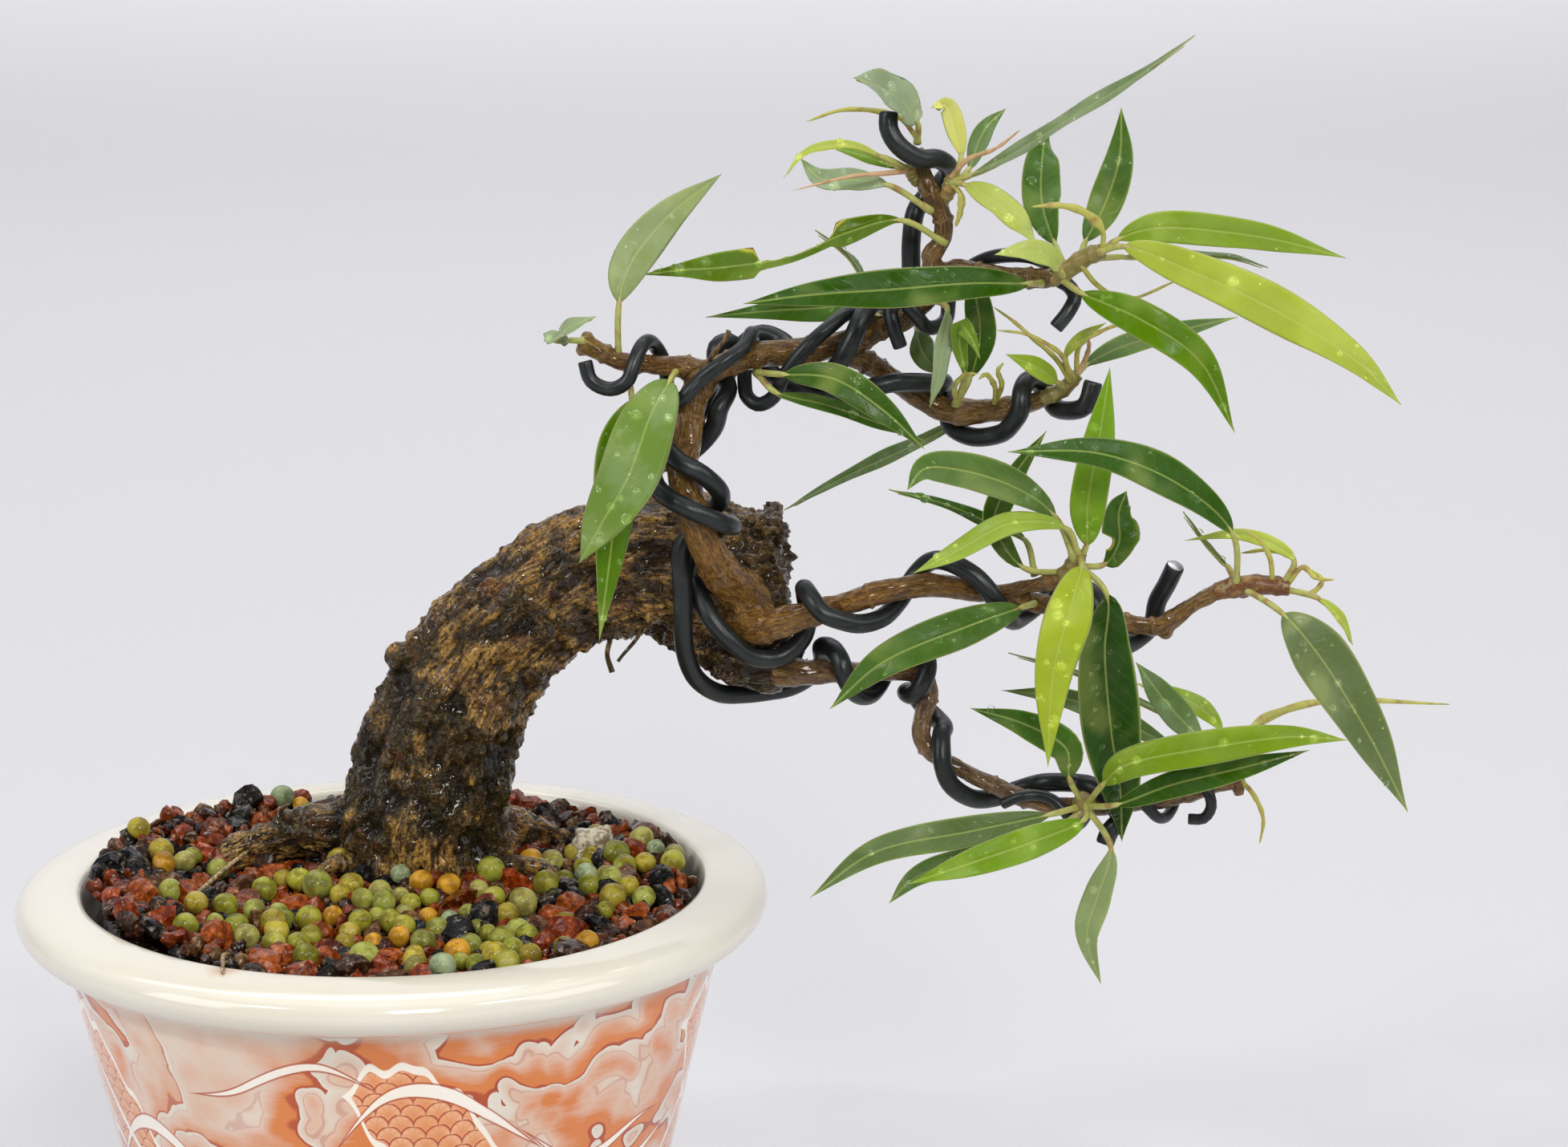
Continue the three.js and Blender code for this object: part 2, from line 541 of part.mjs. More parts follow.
const APEX_LEFT_LEAVES = [
  ['young', 1.6, [0, -0.8, 0.6], [],
    [[81.8, -4, 198.5], [77.5, -9, 201], [73, -11, 203], [68.5, -13, 203], [65.5, -14, 202],
      [62.5, -15, 198.5]]],
  ['fresh', 2.2, [0, -0.8, 0.6], [],
    [[81.8, -4, 198.5], [79.6, -4.4, 199], [75, -5, 200.6], [70, -5, 202]]],
  ['stipule', 1, [0, -1, 0.2], [],
    [[81.8, -4, 198.3], [77.5, -10, 198.6], [72.5, -14, 198.6], [64, -18, 197]]],
];
const APEX_LEFT_STEM = [[82.2, -3.4, 197.6, 0.9], [81.6, -4.4, 198.9, 0.9]];
const APEX_LOW_LEAF = [
  ['pale', 3.8, [0, -0.9, 0.5], [],
    [[84.6, -5, 192.6], [78.5, -7, 196.5], [73, -9, 197.5], [68, -11, 198], [65, -10, 201]]],
];
const BITTEN_LEAF = [
  ['bitten', 5.8, [0, -0.8, 0.6], [1, 0.22, 0.5, 0.9],
    [[86.4, -5.2, 187.5], [80.5, -6, 191], [72.5, -5, 189], [63.5, -3, 185], [53, -1, 183],
      [47, 0, 182.5], [40.5, 2, 181.5]]],
];
const THIN_BACK_LEAF = [
  ['dull', 3.2, [0.6, 0, 0.8], [],
    [[77.6, -0.5, 173], [77, 4.8, 175.8], [73.4, 8, 183], [67.5, 10, 187.5]]],
];
const UPPER_RIGHT_LEAVES = [
  ['mature', 6.2, [0, -0.95, -0.3], [],
    [[105.5, -9.5, 184], [104, -6, 187.4], [102.5, 2, 193], [103, 10, 199], [104.5, 19, 203.5]]],
  ['mature', 5.4, [-0.2, -1, -0.1], [],
    [[107.5, -10.5, 185.5], [108.5, -8, 188], [111.5, -5, 193], [114, -2, 200], [114.5, 2, 207.5]]],
  ['roll', 1.6, [0, -1, 0.2], [],
    [[110.5, -13, 186.5], [110.5, -14.6, 190.5], [107.5, -16, 193.5], [104, -17, 194.6], [99.5, -18.4, 194.6]]],
  ['fresh', 5.4, [0, -0.9, 0.45], [],
    [[110.5, -13, 187], [113, -13, 189], [118.5, -12, 190.5], [130, -9, 189.5], [139.5, -5, 187.5],
      [149.5, -1, 184.5]]],
  ['bright', 7.2, [0.2, -0.9, 0.4], [],
    [[110.5, -14, 187.2], [113.5, -16.5, 188.4], [122.5, -21, 185.6], [135.5, -26, 180], [146.5, -30, 173.5],
      [153.5, -32, 167]]],
  ['dull', 3.2, [0.1, -0.1, 1], [],
    [[110, -12, 186], [114, -9, 185.8], [123, -4, 185.6], [132, 0, 184.6], [138, 3, 182.5]]],
  ['mature', 5.9, [0.2, -0.95, 0.2], [],
    [[104.8, -10.6, 182.6], [107.5, -14, 181], [116, -17.5, 177.6], [125, -19, 171.5], [131, -17, 160]]],
  ['roll', 0.9, [0, -1, 0.2], [],
    [[107.5, -12, 185], [110.4, -10, 181.5], [115, -7, 179], [124, -2, 181.5]]],
  ['young', 3.9, [0, -0.9, 0.5], [],
    [[105, -11, 183], [104.2, -14, 184.5], [102.4, -17, 187], [98.5, -18.6, 188], [94, -19.6, 187.6]]],
];
const UPPER_RIGHT_STEM = [[104.6, -10, 183.2, 1.4], [108, -11.2, 185.8, 1.4], [110.6, -13, 187.2, 1.2]];
const CROWN_FRONT_LEAF = [
  ['mature', 6.3, [0, -0.85, 0.5], [],
    [[101.4, -11, 182], [99.5, -14, 182.4], [90.5, -18, 183], [78.5, -21, 182.5], [66.5, -23, 182],
      [56.5, -25, 181]]],
];
const CROWN_BACK_LEAF = [
  ['mature', 5.2, [0, -0.85, 0.5], [],
    [[86.4, -1, 180.4], [85, 5.2, 180], [78, 7.6, 177.4], [71, 9, 175.5], [61, 11, 174.5], [50, 14, 173]]],
];
const CROWN_INNER_LEAF = [
  ['dull', 4.4, [0.4, -0.9, 0], [],
    [[83.5, -1.2, 174.5], [83.4, 3.6, 172.6], [84.5, 6, 168.5], [87.5, 9, 164.5]]],
];
const CROWN_TWISTED_LEAF = [
  ['pale', 3.2, [0.5, -0.85, 0.1], [],
    [[86, -5, 178.4], [87.6, -8.6, 177.6], [86.8, -10, 172.5], [86.2, -10, 167.5], [85, -9, 162.5]]],
];
const SIDE_STALK_LEAVES = [
  ['mature', 5.2, [0.3, -0.9, 0], [],
    [[89.6, -1.8, 162.2], [91.5, -2, 166], [92.8, -4, 172.5], [92, -7, 179], [90.6, -9.6, 184.6]]],
  ['fresh', 3, [0.2, -0.95, 0], [],
    [[89.4, -2, 162.2], [90.5, -6, 167], [89.4, -10, 172.5], [89.6, -11, 175.5], [91, -12, 174], [92.5, -12, 170.5]]],
  ['roll', 0.9, [0, -1, 0.2], [],
    [[89.4, -2, 162.2], [89, -6, 165.5], [90.5, -8, 167.5], [92.4, -9, 167.8]]],
];
const SIDE_CURLS = [
  ['roll', 1, [0, -1, 0.2], [],
    [[95.4, -1.6, 161.8], [95.2, -4, 165], [93.8, -5, 167], [92.6, -6, 166.4]]],
  ['roll', 1, [0, -1, 0.2], [],
    [[95.4, -1.4, 161.8], [96.4, -2.6, 165], [95.8, -2, 167], [96.8, 0, 168]]],
];
const CROWN_LEFT_LEAVES = [
  ['mature', 4.9, [-0.2, -0.9, 0.4], [],
    [[58.7, -6.8, 167.6], [62.5, -11, 168], [70, -14.5, 168], [77.5, -16, 163.5], [84, -17, 157.5]]],
  ['mature', 3.4, [0, -0.6, 0.8], [],
    [[58.7, -6.6, 167.2], [61.4, -9.8, 165], [69, -9.6, 163], [77, -8.4, 160], [84.4, -6, 156.8]]],
];
const SIDE_SHOOT_LEAVES = [
  ['bright', 3.3, [0, -0.9, 0.4], [],
    [[106, -3, 164.4], [104.8, -5, 165.8], [101.5, -8, 168.5], [96.5, -10, 171]]],
  ['young', 1.7, [0, -1, 0.2], [],
    [[107.5, -3, 166], [106, -5, 169.5], [108, -7, 173], [112, -7.6, 175.5]]],
  ['roll', 1, [0, -1, 0.2], [],
    [[108, -2, 166], [108.4, -2, 171], [112, 0, 173], [118.5, 4, 174.5]]],
  ['dull', 3.8, [0, -0.8, 0.6], [],
    [[107.4, -2, 165.4], [109.5, 0, 167.5], [115.5, 3, 170], [125, 7, 172], [134.5, 11, 173.5]]],
  ['roll', 0.9, [0, -1, 0.2], [],
    [[107, -3.4, 165.5], [104.5, -5, 169.5], [101, -4, 172.5], [98, -3, 175], [95, -1.6, 177]]],
  ['roll', 0.9, [0, -1, 0.2], [],
    [[107, -3.4, 166], [105.5, -7, 170], [103.5, -9, 172], [99.5, -9.4, 174], [95, -9.6, 174.6]]],
  ['stipule', 0.9, [0, -1, 0.2], [],
    [[108, -2.4, 166.5], [109.4, -1.6, 168.9], [110, -0.6, 171], [109.5, 0, 172.5]]],
];
const SIDE_SHOOT_STEM = [[104, -2.1, 163.2, 1.3], [106.4, -2.4, 164.6, 1.2], [108.2, -2.4, 166.6, 1]];
const LONG_BACK_LEAF = [
  ['dull', 3.6, [-0.2, 0.1, 1], [],
    [[93.8, 2.6, 159.6], [91.6, 6.8, 158], [84.5, 10.4, 153.5], [78, 15, 149.5], [70.5, 19, 145],
      [62.5, 24, 139.5]]],
];
const LEFT_FRONT_LEAF = [
  ['dull', 9.4, [-0.1, -1, 0.1], [],
    [[45.8, -6, 167.4], [45.2, -10, 167], [42.3, -17, 162.5], [39.3, -21, 154.5], [35, -22, 147],
      [31.5, -20, 140.5]]],
];
const LEFT_HANGING_LEAF = [
  ['mature', 7, [0, -1, 0.05], [],
    [[38.4, -4, 167], [39, -5, 163], [37.2, -8.6, 156], [36.3, -12, 144], [34, -13, 126.5]]],
];
const LEFT_UPRIGHT_LEAF = [
  ['pale', 6.4, [-0.2, -0.95, -0.1], [],
    [[37, -4, 171], [37.2, -4, 178], [38.8, -2, 183.5], [44.5, 2, 190.5], [53, 9, 196.5]]],
];
const LEFT_TIP_CURL = [
  ['pale', 3, [0.1, -0.6, 0.8], [],
    [[31, -5.8, 172.4], [29.6, -6.6, 172.6], [27.6, -8, 173], [29.6, -10, 175], [34, -11, 177]]],
];
const MIDDLE_SHOOT_LEAVES = [
  ['bright', 5.8, [0, -1, -0.1], [],
    [[108, -14, 140], [109, -14.4, 142], [109, -15, 148.5], [110.5, -16.4, 159.5], [112, -15.4, 170]]],
  ['dull', 4.6, [0.4, -0.9, 0.1], [],
    [[105.8, -13.2, 137.6], [99.5, -12, 138], [95, -11, 145], [98, -10, 152], [103, -9.4, 159]]],
  ['dull', 5.8, [0.1, -0.9, 0.4], [],
    [[107, -15, 140], [104, -17, 147], [98, -20, 152], [89, -23, 155.5], [83.5, -25, 156], [81, -26, 153]]],
  ['bright', 3.7, [0, -0.9, 0.5], [],
    [[107.5, -15, 141], [105.5, -18, 145.5], [97, -21.5, 147], [88.5, -23.5, 143], [82, -25, 140]]],
  ['mature', 6.3, [0.3, -0.95, 0], [-1, 0.15, 0.35, 0.5],
    [[108.2, -14, 138.8], [112, -12, 138.5], [114.5, -9, 141.5], [114.5, -7, 145.5], [116, -4, 148.5]]],
  ['young', 7.4, [0.1, -1, 0.1], [],
    [[108, -15.4, 140], [108, -18, 139.5], [106, -21.5, 133.5], [103.5, -23.5, 124], [103, -23, 109]]],
  ['mature', 9.4, [0.1, -1, 0.1], [],
    [[108.2, -15, 138.8], [112, -17, 135], [111.8, -18, 126], [113.2, -16.4, 113], [115, -14, 103],
      [115.6, -12.6, 94]]],
];
const MIDDLE_SHOOT_STEM = [[105.6, -13.1, 137, 1.2], [107.2, -14, 139, 1.4], [108, -14.4, 141, 1.2]];
const MIDDLE_BACK_LEAF = [
  ['mature', 3, [0.1, -0.5, 0.85], [],
    [[101.2, -10.8, 137.2], [100, -8, 141.5], [95, -6, 143.5], [88, -3, 146], [79, 2, 147.5]]],
];
const MIDDLE_LEAF = [
  ['mature', 6.2, [-0.1, -0.9, 0.4], [],
    [[101, -12, 132.2], [99, -16, 132.6], [90, -21, 130.6], [77.5, -23, 125.6], [69.5, -22, 118]]],
];
const MIDDLE_TIP_LEAVES = [
  ['mature', 6.4, [0.1, -0.85, 0.5], [],
    [[132.5, -12, 135.2], [131, -17, 144.5], [122, -21, 153], [110, -23, 158], [96, -24, 158.5]]],
  ['dull', 2.6, [0.8, 0, 0.5], [],
    [[132.5, -11, 135], [131.5, -8, 137.4], [128.5, -6, 140.6], [125, -3, 145]]],
  ['dull', 8.9, [0.3, -0.95, 0.1], [],
    [[134, -12.6, 134.6], [139, -17.6, 132], [144, -19.6, 126.5], [151.5, -21, 115], [159, -20, 101]]],
  ['young', 2.2, [0, -1, 0.2], [],
    [[139.5, -12.6, 135.6], [141, -14, 139.5], [138, -14, 142], [132.5, -12.6, 143.4], [124.5, -9, 141.6]]],
  ['roll', 1.1, [0, -1, 0.2], [],
    [[139.6, -12.4, 135.6], [141.4, -11, 139], [138, -9.6, 140.2], [133.5, -8, 139.4]]],
  ['roll', 0.9, [0, -1, 0.2], [],
    [[138, -12.4, 135.6], [137.2, -14.6, 140], [135.5, -16.4, 143], [132.6, -18.6, 145.5]]],
  ['roll', 1, [0, -1, 0.2], [],
    [[140.2, -12.8, 135.4], [142.4, -14, 138.5], [144.4, -15, 137], [147, -16, 137]]],
  ['roll', 1, [0, -1, 0.2], [],
    [[140.2, -12.4, 134.8], [144, -11, 133.6], [146, -10, 135.5], [143.5, -9, 137.5]]],
  ['young', 1.8, [0.4, -0.8, 0.4], [],
    [[140.2, -12.6, 134.6], [145, -13.6, 133.5], [148.4, -14, 130.5], [150.6, -13.4, 126]]],
];
const MIDDLE_TIP_STEM = [
  [130.6, -11.1, 134.2, 1.5], [134, -11.8, 135.2, 1.6], [137.6, -12.3, 135.2, 1.5], [140.6, -12.6, 135, 1.3],
];
const LOWER_TIP_LEAVES = [
  ['dull', 5, [0.3, -0.9, 0.2], [],
    [[133.8, -5, 104.5], [128.5, -7, 109], [122.5, -9, 115.6], [117.4, -10, 122.5]]],
  ['bright', 3.6, [0.3, -0.7, 0.6], [],
    [[134, -4.4, 104.5], [132, -3, 109.5], [127.5, -1, 113.5], [118.5, 2, 116]]],
  ['roll', 1.7, [0, -1, 0.2], [],
    [[134.2, -4, 104.5], [137, 0, 109], [143, 4, 111], [151, 8, 111.5], [171.5, 15, 109]]],
  ['dull', 3.9, [0, -0.9, 0.4], [],
    [[133.8, -4.4, 104], [124.5, -1.6, 106.5], [116.5, 1, 110], [107.5, 4, 113], [97.5, 7, 113.5]]],
  ['dull', 2.2, [0, -0.2, 1], [],
    [[134, -3.6, 104], [127, 4, 108.5], [119.5, 8, 111.6], [109.5, 11, 115.5], [99, 14, 118]]],
  ['roll', 0.9, [0, -1, 0.2], [],
    [[134.6, -4.6, 102.2], [137, -5.6, 99.6], [138.5, -6.4, 96], [138, -7, 92]]],
];
const LOWER_TIP_STEM = [[134.6, -4.2, 101.3, 1.1], [134.4, -4.3, 103, 1.1], [134, -4.4, 105, 1.1]];
const LOWER_SHOOT_LEAVES = [
  ['fresh', 5.6, [0, -0.85, 0.5], [],
    [[110.3, -12.6, 100.5], [112, -18, 105], [115, -21.5, 109], [127, -24, 112.4], [140, -25, 114.5],
      [148.5, -25, 114]]],
  ['mature', 4.4, [0, -0.95, 0.2], [],
    [[110.4, -13, 100], [114, -19, 102], [122, -22, 106], [132.5, -23.6, 109.2], [143, -23.4, 112]]],
  ['mature', 5, [0, -0.85, 0.5], [],
    [[109.2, -12, 99.7], [104, -16, 99.5], [91.5, -20, 98], [76.5, -23, 95.5], [66.5, -24, 88.5]]],
  ['bright', 5.2, [0, -0.9, 0.4], [],
    [[109.8, -13, 100], [109, -18.4, 99.3], [101, -24, 97.6], [91, -27, 95], [81.5, -28, 92]]],
  ['dull', 3.9, [0, -0.8, 0.6], [],
    [[109.4, -12.4, 99.2], [103, -15, 95.4], [91, -17, 92.6], [83, -17, 89.5], [79, -16, 85]]],
  ['pale', 4.6, [-0.3, -0.95, 0], [],
    [[110.2, -12.8, 99.2], [113.6, -16, 94], [111.6, -17.6, 87], [110, -17.6, 80.5], [112.5, -15.6, 71.5]]],
  ['mature', 5.2, [-0.1, -0.95, 0.3], [],
    [[109.5, -12.4, 100.2], [107, -15, 105], [106.2, -17, 110.5], [100, -16, 114], [91.5, -12, 115.6]]],
];
const LOWER_SHOOT_STEM = [[109.6, -9.5, 99.5, 1.5], [109.7, -11.4, 99.9, 1.7], [110, -13.2, 100.2, 1.3]];

const LEAF_COLOURS = {
  mature: 0x3f6a22, dull: 0x667f4c, pale: 0x93a77f, fresh: 0x6f9c2b, bright: 0x9ab932,
  young: 0xb3bd4a, roll: 0xb7ab45, stipule: 0xc99b72, bitten: 0x5d8a2a,
};
const LEAFY_PARTS = [
  ['apex_tip_leaves', APEX_TIP_LEAVES, null], ['apex_side_leaves', APEX_SIDE_LEAVES, APEX_SIDE_STEM],
  ['apex_left_leaves', APEX_LEFT_LEAVES, APEX_LEFT_STEM], ['apex_low_leaf', APEX_LOW_LEAF, null],
  ['bitten_leaf', BITTEN_LEAF, null], ['thin_back_leaf', THIN_BACK_LEAF, null],
  ['upper_right_leaves', UPPER_RIGHT_LEAVES, UPPER_RIGHT_STEM], ['crown_front_leaf', CROWN_FRONT_LEAF, null],
  ['crown_back_leaf', CROWN_BACK_LEAF, null], ['crown_inner_leaf', CROWN_INNER_LEAF, null],
  ['crown_twisted_leaf', CROWN_TWISTED_LEAF, null], ['side_stalk_leaves', SIDE_STALK_LEAVES, null],
  ['side_curls', SIDE_CURLS, null], ['crown_left_leaves', CROWN_LEFT_LEAVES, null],
  ['side_shoot_leaves', SIDE_SHOOT_LEAVES, SIDE_SHOOT_STEM], ['long_back_leaf', LONG_BACK_LEAF, null],
  ['left_front_leaf', LEFT_FRONT_LEAF, null], ['left_hanging_leaf', LEFT_HANGING_LEAF, null],
  ['left_upright_leaf', LEFT_UPRIGHT_LEAF, null], ['left_tip_curl', LEFT_TIP_CURL, null],
  ['middle_shoot_leaves', MIDDLE_SHOOT_LEAVES, MIDDLE_SHOOT_STEM], ['middle_back_leaf', MIDDLE_BACK_LEAF, null],
  ['middle_leaf', MIDDLE_LEAF, null], ['middle_tip_leaves', MIDDLE_TIP_LEAVES, MIDDLE_TIP_STEM],
  ['lower_tip_leaves', LOWER_TIP_LEAVES, LOWER_TIP_STEM],
  ['lower_shoot_leaves', LOWER_SHOOT_LEAVES, LOWER_SHOOT_STEM],
];

function addLeafyPart([name, leaves, stem], bark) {
  const parts = leaves.map(leaf);
  if (stem) parts.push(limb(stem, { sides: 6, steps: stem.length }));
  addPiece(name, joined(parts).subtract(bark), LEAF_COLOURS[leaves[0][0]], 0.5);
}

// The assembly

addPiece('pot', buildPot(), 0xe9e3d4, 0.15);
addPiece('soil', buildSoil(), 0x6d4a36, 0.95);
addPiece('wood', buildWood(), 0x5b4230, 0.85);
addPiece('long_lower_wire', wire(longLowerWire(), THICK_WIRE), 0x1f2426, 0.4, 0.6);
addPiece('long_middle_wire', wire(longMiddleWire(), THICK_WIRE), 0x1f2426, 0.4, 0.6);
addPiece('left_twig_wire', wire(leftTwigWire(), MEDIUM_WIRE), 0x1f2426, 0.4, 0.6);
addPiece('right_twig_wire', wire(rightTwigWire(), MEDIUM_WIRE), 0x1f2426, 0.4, 0.6);
addPiece('thin_lower_wire', wire(thinLowerWire(), THIN_WIRE), 0x1f2426, 0.4, 0.6);

const barkWithGap = joined(barkedLimbs(FIT_GAP * 1.2));
for (const part of LEAFY_PARTS) addLeafyPart(part, barkWithGap);

export default bonsai;
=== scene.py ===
import bpy
import numpy as np
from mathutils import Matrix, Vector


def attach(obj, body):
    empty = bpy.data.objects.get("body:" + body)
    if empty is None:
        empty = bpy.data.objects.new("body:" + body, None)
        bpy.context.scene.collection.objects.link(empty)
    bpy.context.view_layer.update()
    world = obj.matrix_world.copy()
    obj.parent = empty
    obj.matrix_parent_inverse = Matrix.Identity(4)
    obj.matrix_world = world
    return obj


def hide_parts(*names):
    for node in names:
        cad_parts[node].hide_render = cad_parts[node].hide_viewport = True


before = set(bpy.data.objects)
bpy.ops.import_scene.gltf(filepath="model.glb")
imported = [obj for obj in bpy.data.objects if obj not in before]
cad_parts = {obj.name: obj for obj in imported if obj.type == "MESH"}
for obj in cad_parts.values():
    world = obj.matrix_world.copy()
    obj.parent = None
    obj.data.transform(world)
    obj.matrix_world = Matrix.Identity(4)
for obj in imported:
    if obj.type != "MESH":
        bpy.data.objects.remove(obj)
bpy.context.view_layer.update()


# The pot: porcelain thrown on a wheel, with a rolled lip and three drain holes in its foot.
# It is dipped in ivory glaze, and cloud and scale bands are brushed on in iron red before firing.

POT_OUTSIDE = [
    (0, 0), (20, 0), (33.6, 0), (34.6, 0.3), (35.74, 1.4), (36.6, 4.5), (40.99, 24.9), (46.76, 50),
    (51.6, 71), (52.4, 74.5), (53.7, 76.6), (56.5, 77.6), (59, 79.2), (60, 81.4), (59.2, 83.4),
    (56.8, 84.5), (53.8, 85), (51, 85), (50.1, 84.8), (49.6, 84.1), (49.2, 82), (49, 78), (41.4, 45),
    (34.1, 13), (32.8, 9), (29.7, 7), (15, 7), (0, 7)]
POT_SEGMENTS = 256
POT_STATIONS = 380
DRAIN_TURNS = (60, 180, 300)
DRAIN_CIRCLE = 17.0
DRAIN_RADIUS = 4.0
DRAIN_DRILL = (-3, 12)
DRAIN_SEGMENTS = 48
SCALES_ROUND = 84.0
RIBBON_STEEP = 1.5
FULL_TURN = 6.2831853
MM_PER_M = 1000.0
IVORY = (224, 219, 206)
IRON_WASH = (216, 124, 58)
IRON_LINE = (172, 66, 28)
SCALE_ROOT = (222, 142, 86)
SCALE_EDGE = (247, 212, 178)
SCALE_RAY = (220, 136, 76)
SCALE_POOL = (222, 138, 76)
BAND_EDGE = (246, 238, 226)
RIBBON = (246, 239, 228)
PINHOLE = (96, 70, 48)
LIP_STAIN = (196, 138, 66)
GLAZE_CLOUD = (244, 238, 224)
LIP_STAIN_PLACE = (-0.0202, -0.0478, 0.085)
# Bands of scales: level, rise and fall in mm, swings round the pot, start in radians, half height in mm.
SCALE_BANDS = [(54.0, 12.0, 5.0, 0.2, 12.5), (34.0, -13.0, 4.0, 2.7, 10.0)]
BAND_RIPPLES = ((0.5, 71, 0.0), (0.7, 43, 1.0))
# Ribbons: level in mm, swings of (mm, count, phase), swells round the pot, start in radians, and breadth.
# The breadth is in mm, before RIBBON_STEEP widens it to allow for the slope of the ribbons.
RIBBONS = [
    (52.0, ((14.0, 4, 0.7), (2.0, 9, 1.0)), 5.0, 0.4, 0.85),
    (60.0, ((9.0, 3, 2.1), (1.8, 11, 3.0)), 6.0, 3.1, 0.5),
    (38.0, ((15.0, 3, 3.9), (2.2, 8, 2.0)), 4.0, 4.6, 0.8),
]


def spline_points(rows, share):
    """Centripetal Catmull-Rom curve through the rows, read at shares 0 to 1 of the row count."""
    rows = np.asarray(rows, float)
    spans = len(rows) - 1
    place = np.clip(np.asarray(share, float), 0, 1) * spans
    before = np.minimum(place.astype(int), spans - 1)
    part = (place - before)[:, None]
    ends = np.vstack([2 * rows[0] - rows[1], rows, 2 * rows[-1] - rows[-2]])
    p0, p1, p2, p3 = (ends[before + shift] for shift in range(4))
    gap = [np.sqrt(np.linalg.norm(b - a, axis=1, keepdims=True)) for a, b in ((p0, p1), (p1, p2), (p2, p3))]
    gap[1] = np.where(gap[1] < 1e-4, 1, gap[1])
    gap[0] = np.where(gap[0] < 1e-4, gap[1], gap[0])
    gap[2] = np.where(gap[2] < 1e-4, gap[1], gap[2])
    slope1 = gap[1] * ((p1 - p0) / gap[0] - (p2 - p0) / (gap[0] + gap[1]) + (p2 - p1) / gap[1])
    slope2 = gap[1] * ((p2 - p1) / gap[1] - (p3 - p1) / (gap[1] + gap[2]) + (p3 - p2) / gap[2])
    square = -3 * p1 + 3 * p2 - 2 * slope1 - slope2
    cube = 2 * p1 - 2 * p2 + slope1 + slope2
    return p1 + part * (slope1 + part * (square + part * cube))


def even_samples(rows, count):
    """Points at equal steps of length along the spline through the rows."""
    fine = spline_points(rows, np.linspace(0, 1, count * 8))
    run = np.concatenate([[0], np.cumsum(np.linalg.norm(np.diff(fine, axis=0), axis=1))])
    wanted = np.linspace(0, run[-1], count)
    return np.stack([np.interp(wanted, run, fine[:, axis]) for axis in range(fine.shape[1])], axis=1)


def grid_faces(rows, columns, closed=True):
    """Quads between neighbours of a rows by columns grid; closed joins the last column to the first."""
    across = columns if closed else columns - 1
    first, second = np.meshgrid(np.arange(rows - 1), np.arange(across), indexing="ij")
    here = first * columns + second
    beside = first * columns + (second + 1) % columns
    return np.stack([here, beside, beside + columns, here + columns], axis=-1).reshape(-1, 4)


def pole_faces(start, columns, pole, inward):
    """Triangles from one ring to a pole point; inward turns them over for the far end."""
    ring = start + np.arange(columns)
    beside = start + (np.arange(columns) + 1) % columns
    middle = np.full(columns, pole)
    return np.stack([beside, ring, middle] if inward else [ring, beside, middle], axis=1)


def tube_faces(rings, columns):
    """Faces of a tube of closed rings whose two pole points follow the rings' points."""
    last = (rings - 1) * columns
    return [
        grid_faces(rings, columns), pole_faces(0, columns, last + columns, True),
        pole_faces(last, columns, last + columns + 1, False),
    ]


def path_length(points):
    """Length of the straight steps through the points."""
    return np.linalg.norm(np.diff(points, axis=0), axis=1).sum()


def turned(profile, segments):
    """A profile of (radius, height) carried round the Z axis; its two ends close in a pole each."""
    turn = np.arange(segments) * 2 * np.pi / segments
    rings = profile[1:-1]
    x = rings[:, :1] * np.cos(turn)
    y = rings[:, :1] * np.sin(turn)
    z = np.repeat(rings[:, 1:], segments, axis=1)
    points = np.stack([x, y, z], axis=-1).reshape(-1, 3)
    poles = [[0, 0, profile[0, 1]], [0, 0, profile[-1, 1]]]
    return {"points": np.vstack([points, poles]), "faces": tube_faces(len(rings), segments)}


def add_mesh(name, parts, materials):
    """Stack the parts' points (mm to m) and faces in one object; marks become point attributes."""
    faces, finishes, rounded, start = [], [], [], 0
    for part in parts:
        for order, group in enumerate(part["faces"]):
            faces += (group + start).tolist()
            finishes += [
                part["finishes"][order] if "finishes" in part else part.get("finish", 0)] * len(group)
            rounded += [not part.get("faceted", False)] * len(group)
        start += len(part["points"])
    mesh = bpy.data.meshes.new(name)
    mesh.from_pydata((np.vstack([part["points"] for part in parts]) * 0.001).tolist(), [], faces)
    for key in parts[0].get("marks", {}):
        values = np.concatenate([part["marks"][key] for part in parts])
        kind, field = ("FLOAT", "value") if values.ndim == 1 else ("FLOAT_VECTOR", "vector")
        mesh.attributes.new(key, kind, "POINT").data.foreach_set(field, values.ravel().astype(np.float32))
    mesh.polygons.foreach_set("material_index", finishes)
    mesh.polygons.foreach_set("use_smooth", rounded)
    for material in materials:
        mesh.materials.append(material)
    mesh.update()
    piece = bpy.data.objects.new(name, mesh)
    bpy.context.scene.collection.objects.link(piece)
    return piece


def tone(colour):
    """A colour of 0 to 255 as seen, turned into the linear values that shaders take."""
    value = np.array(colour, float) / 255
    linear = np.where(value <= 0.04045, value / 12.92, ((value + 0.055) / 1.055) ** 2.4)
    return (*[float(part) for part in linear], 1.0)


def node(tree, kind, inputs=None, **settings):
    """Add one shader node; inputs take a plain value or the socket that feeds them."""
    made = tree.nodes.new(kind)
    for key, value in settings.items():
        setattr(made, key, value)
    for key, value in (inputs or {}).items():
        if isinstance(value, bpy.types.NodeSocket):
            tree.links.new(value, made.inputs[key])
        else:
            made.inputs[key].default_value = value
    return made


def feed(target, **sources):
    """Link sockets to a node's inputs, or set plain values there; _ stands for a space in an input's name."""
    for key, value in sources.items():
        entry = target.inputs[key.replace("_", " ")]
        if isinstance(value, bpy.types.NodeSocket):
            value.id_data.links.new(value, entry)
        else:
            entry.default_value = value


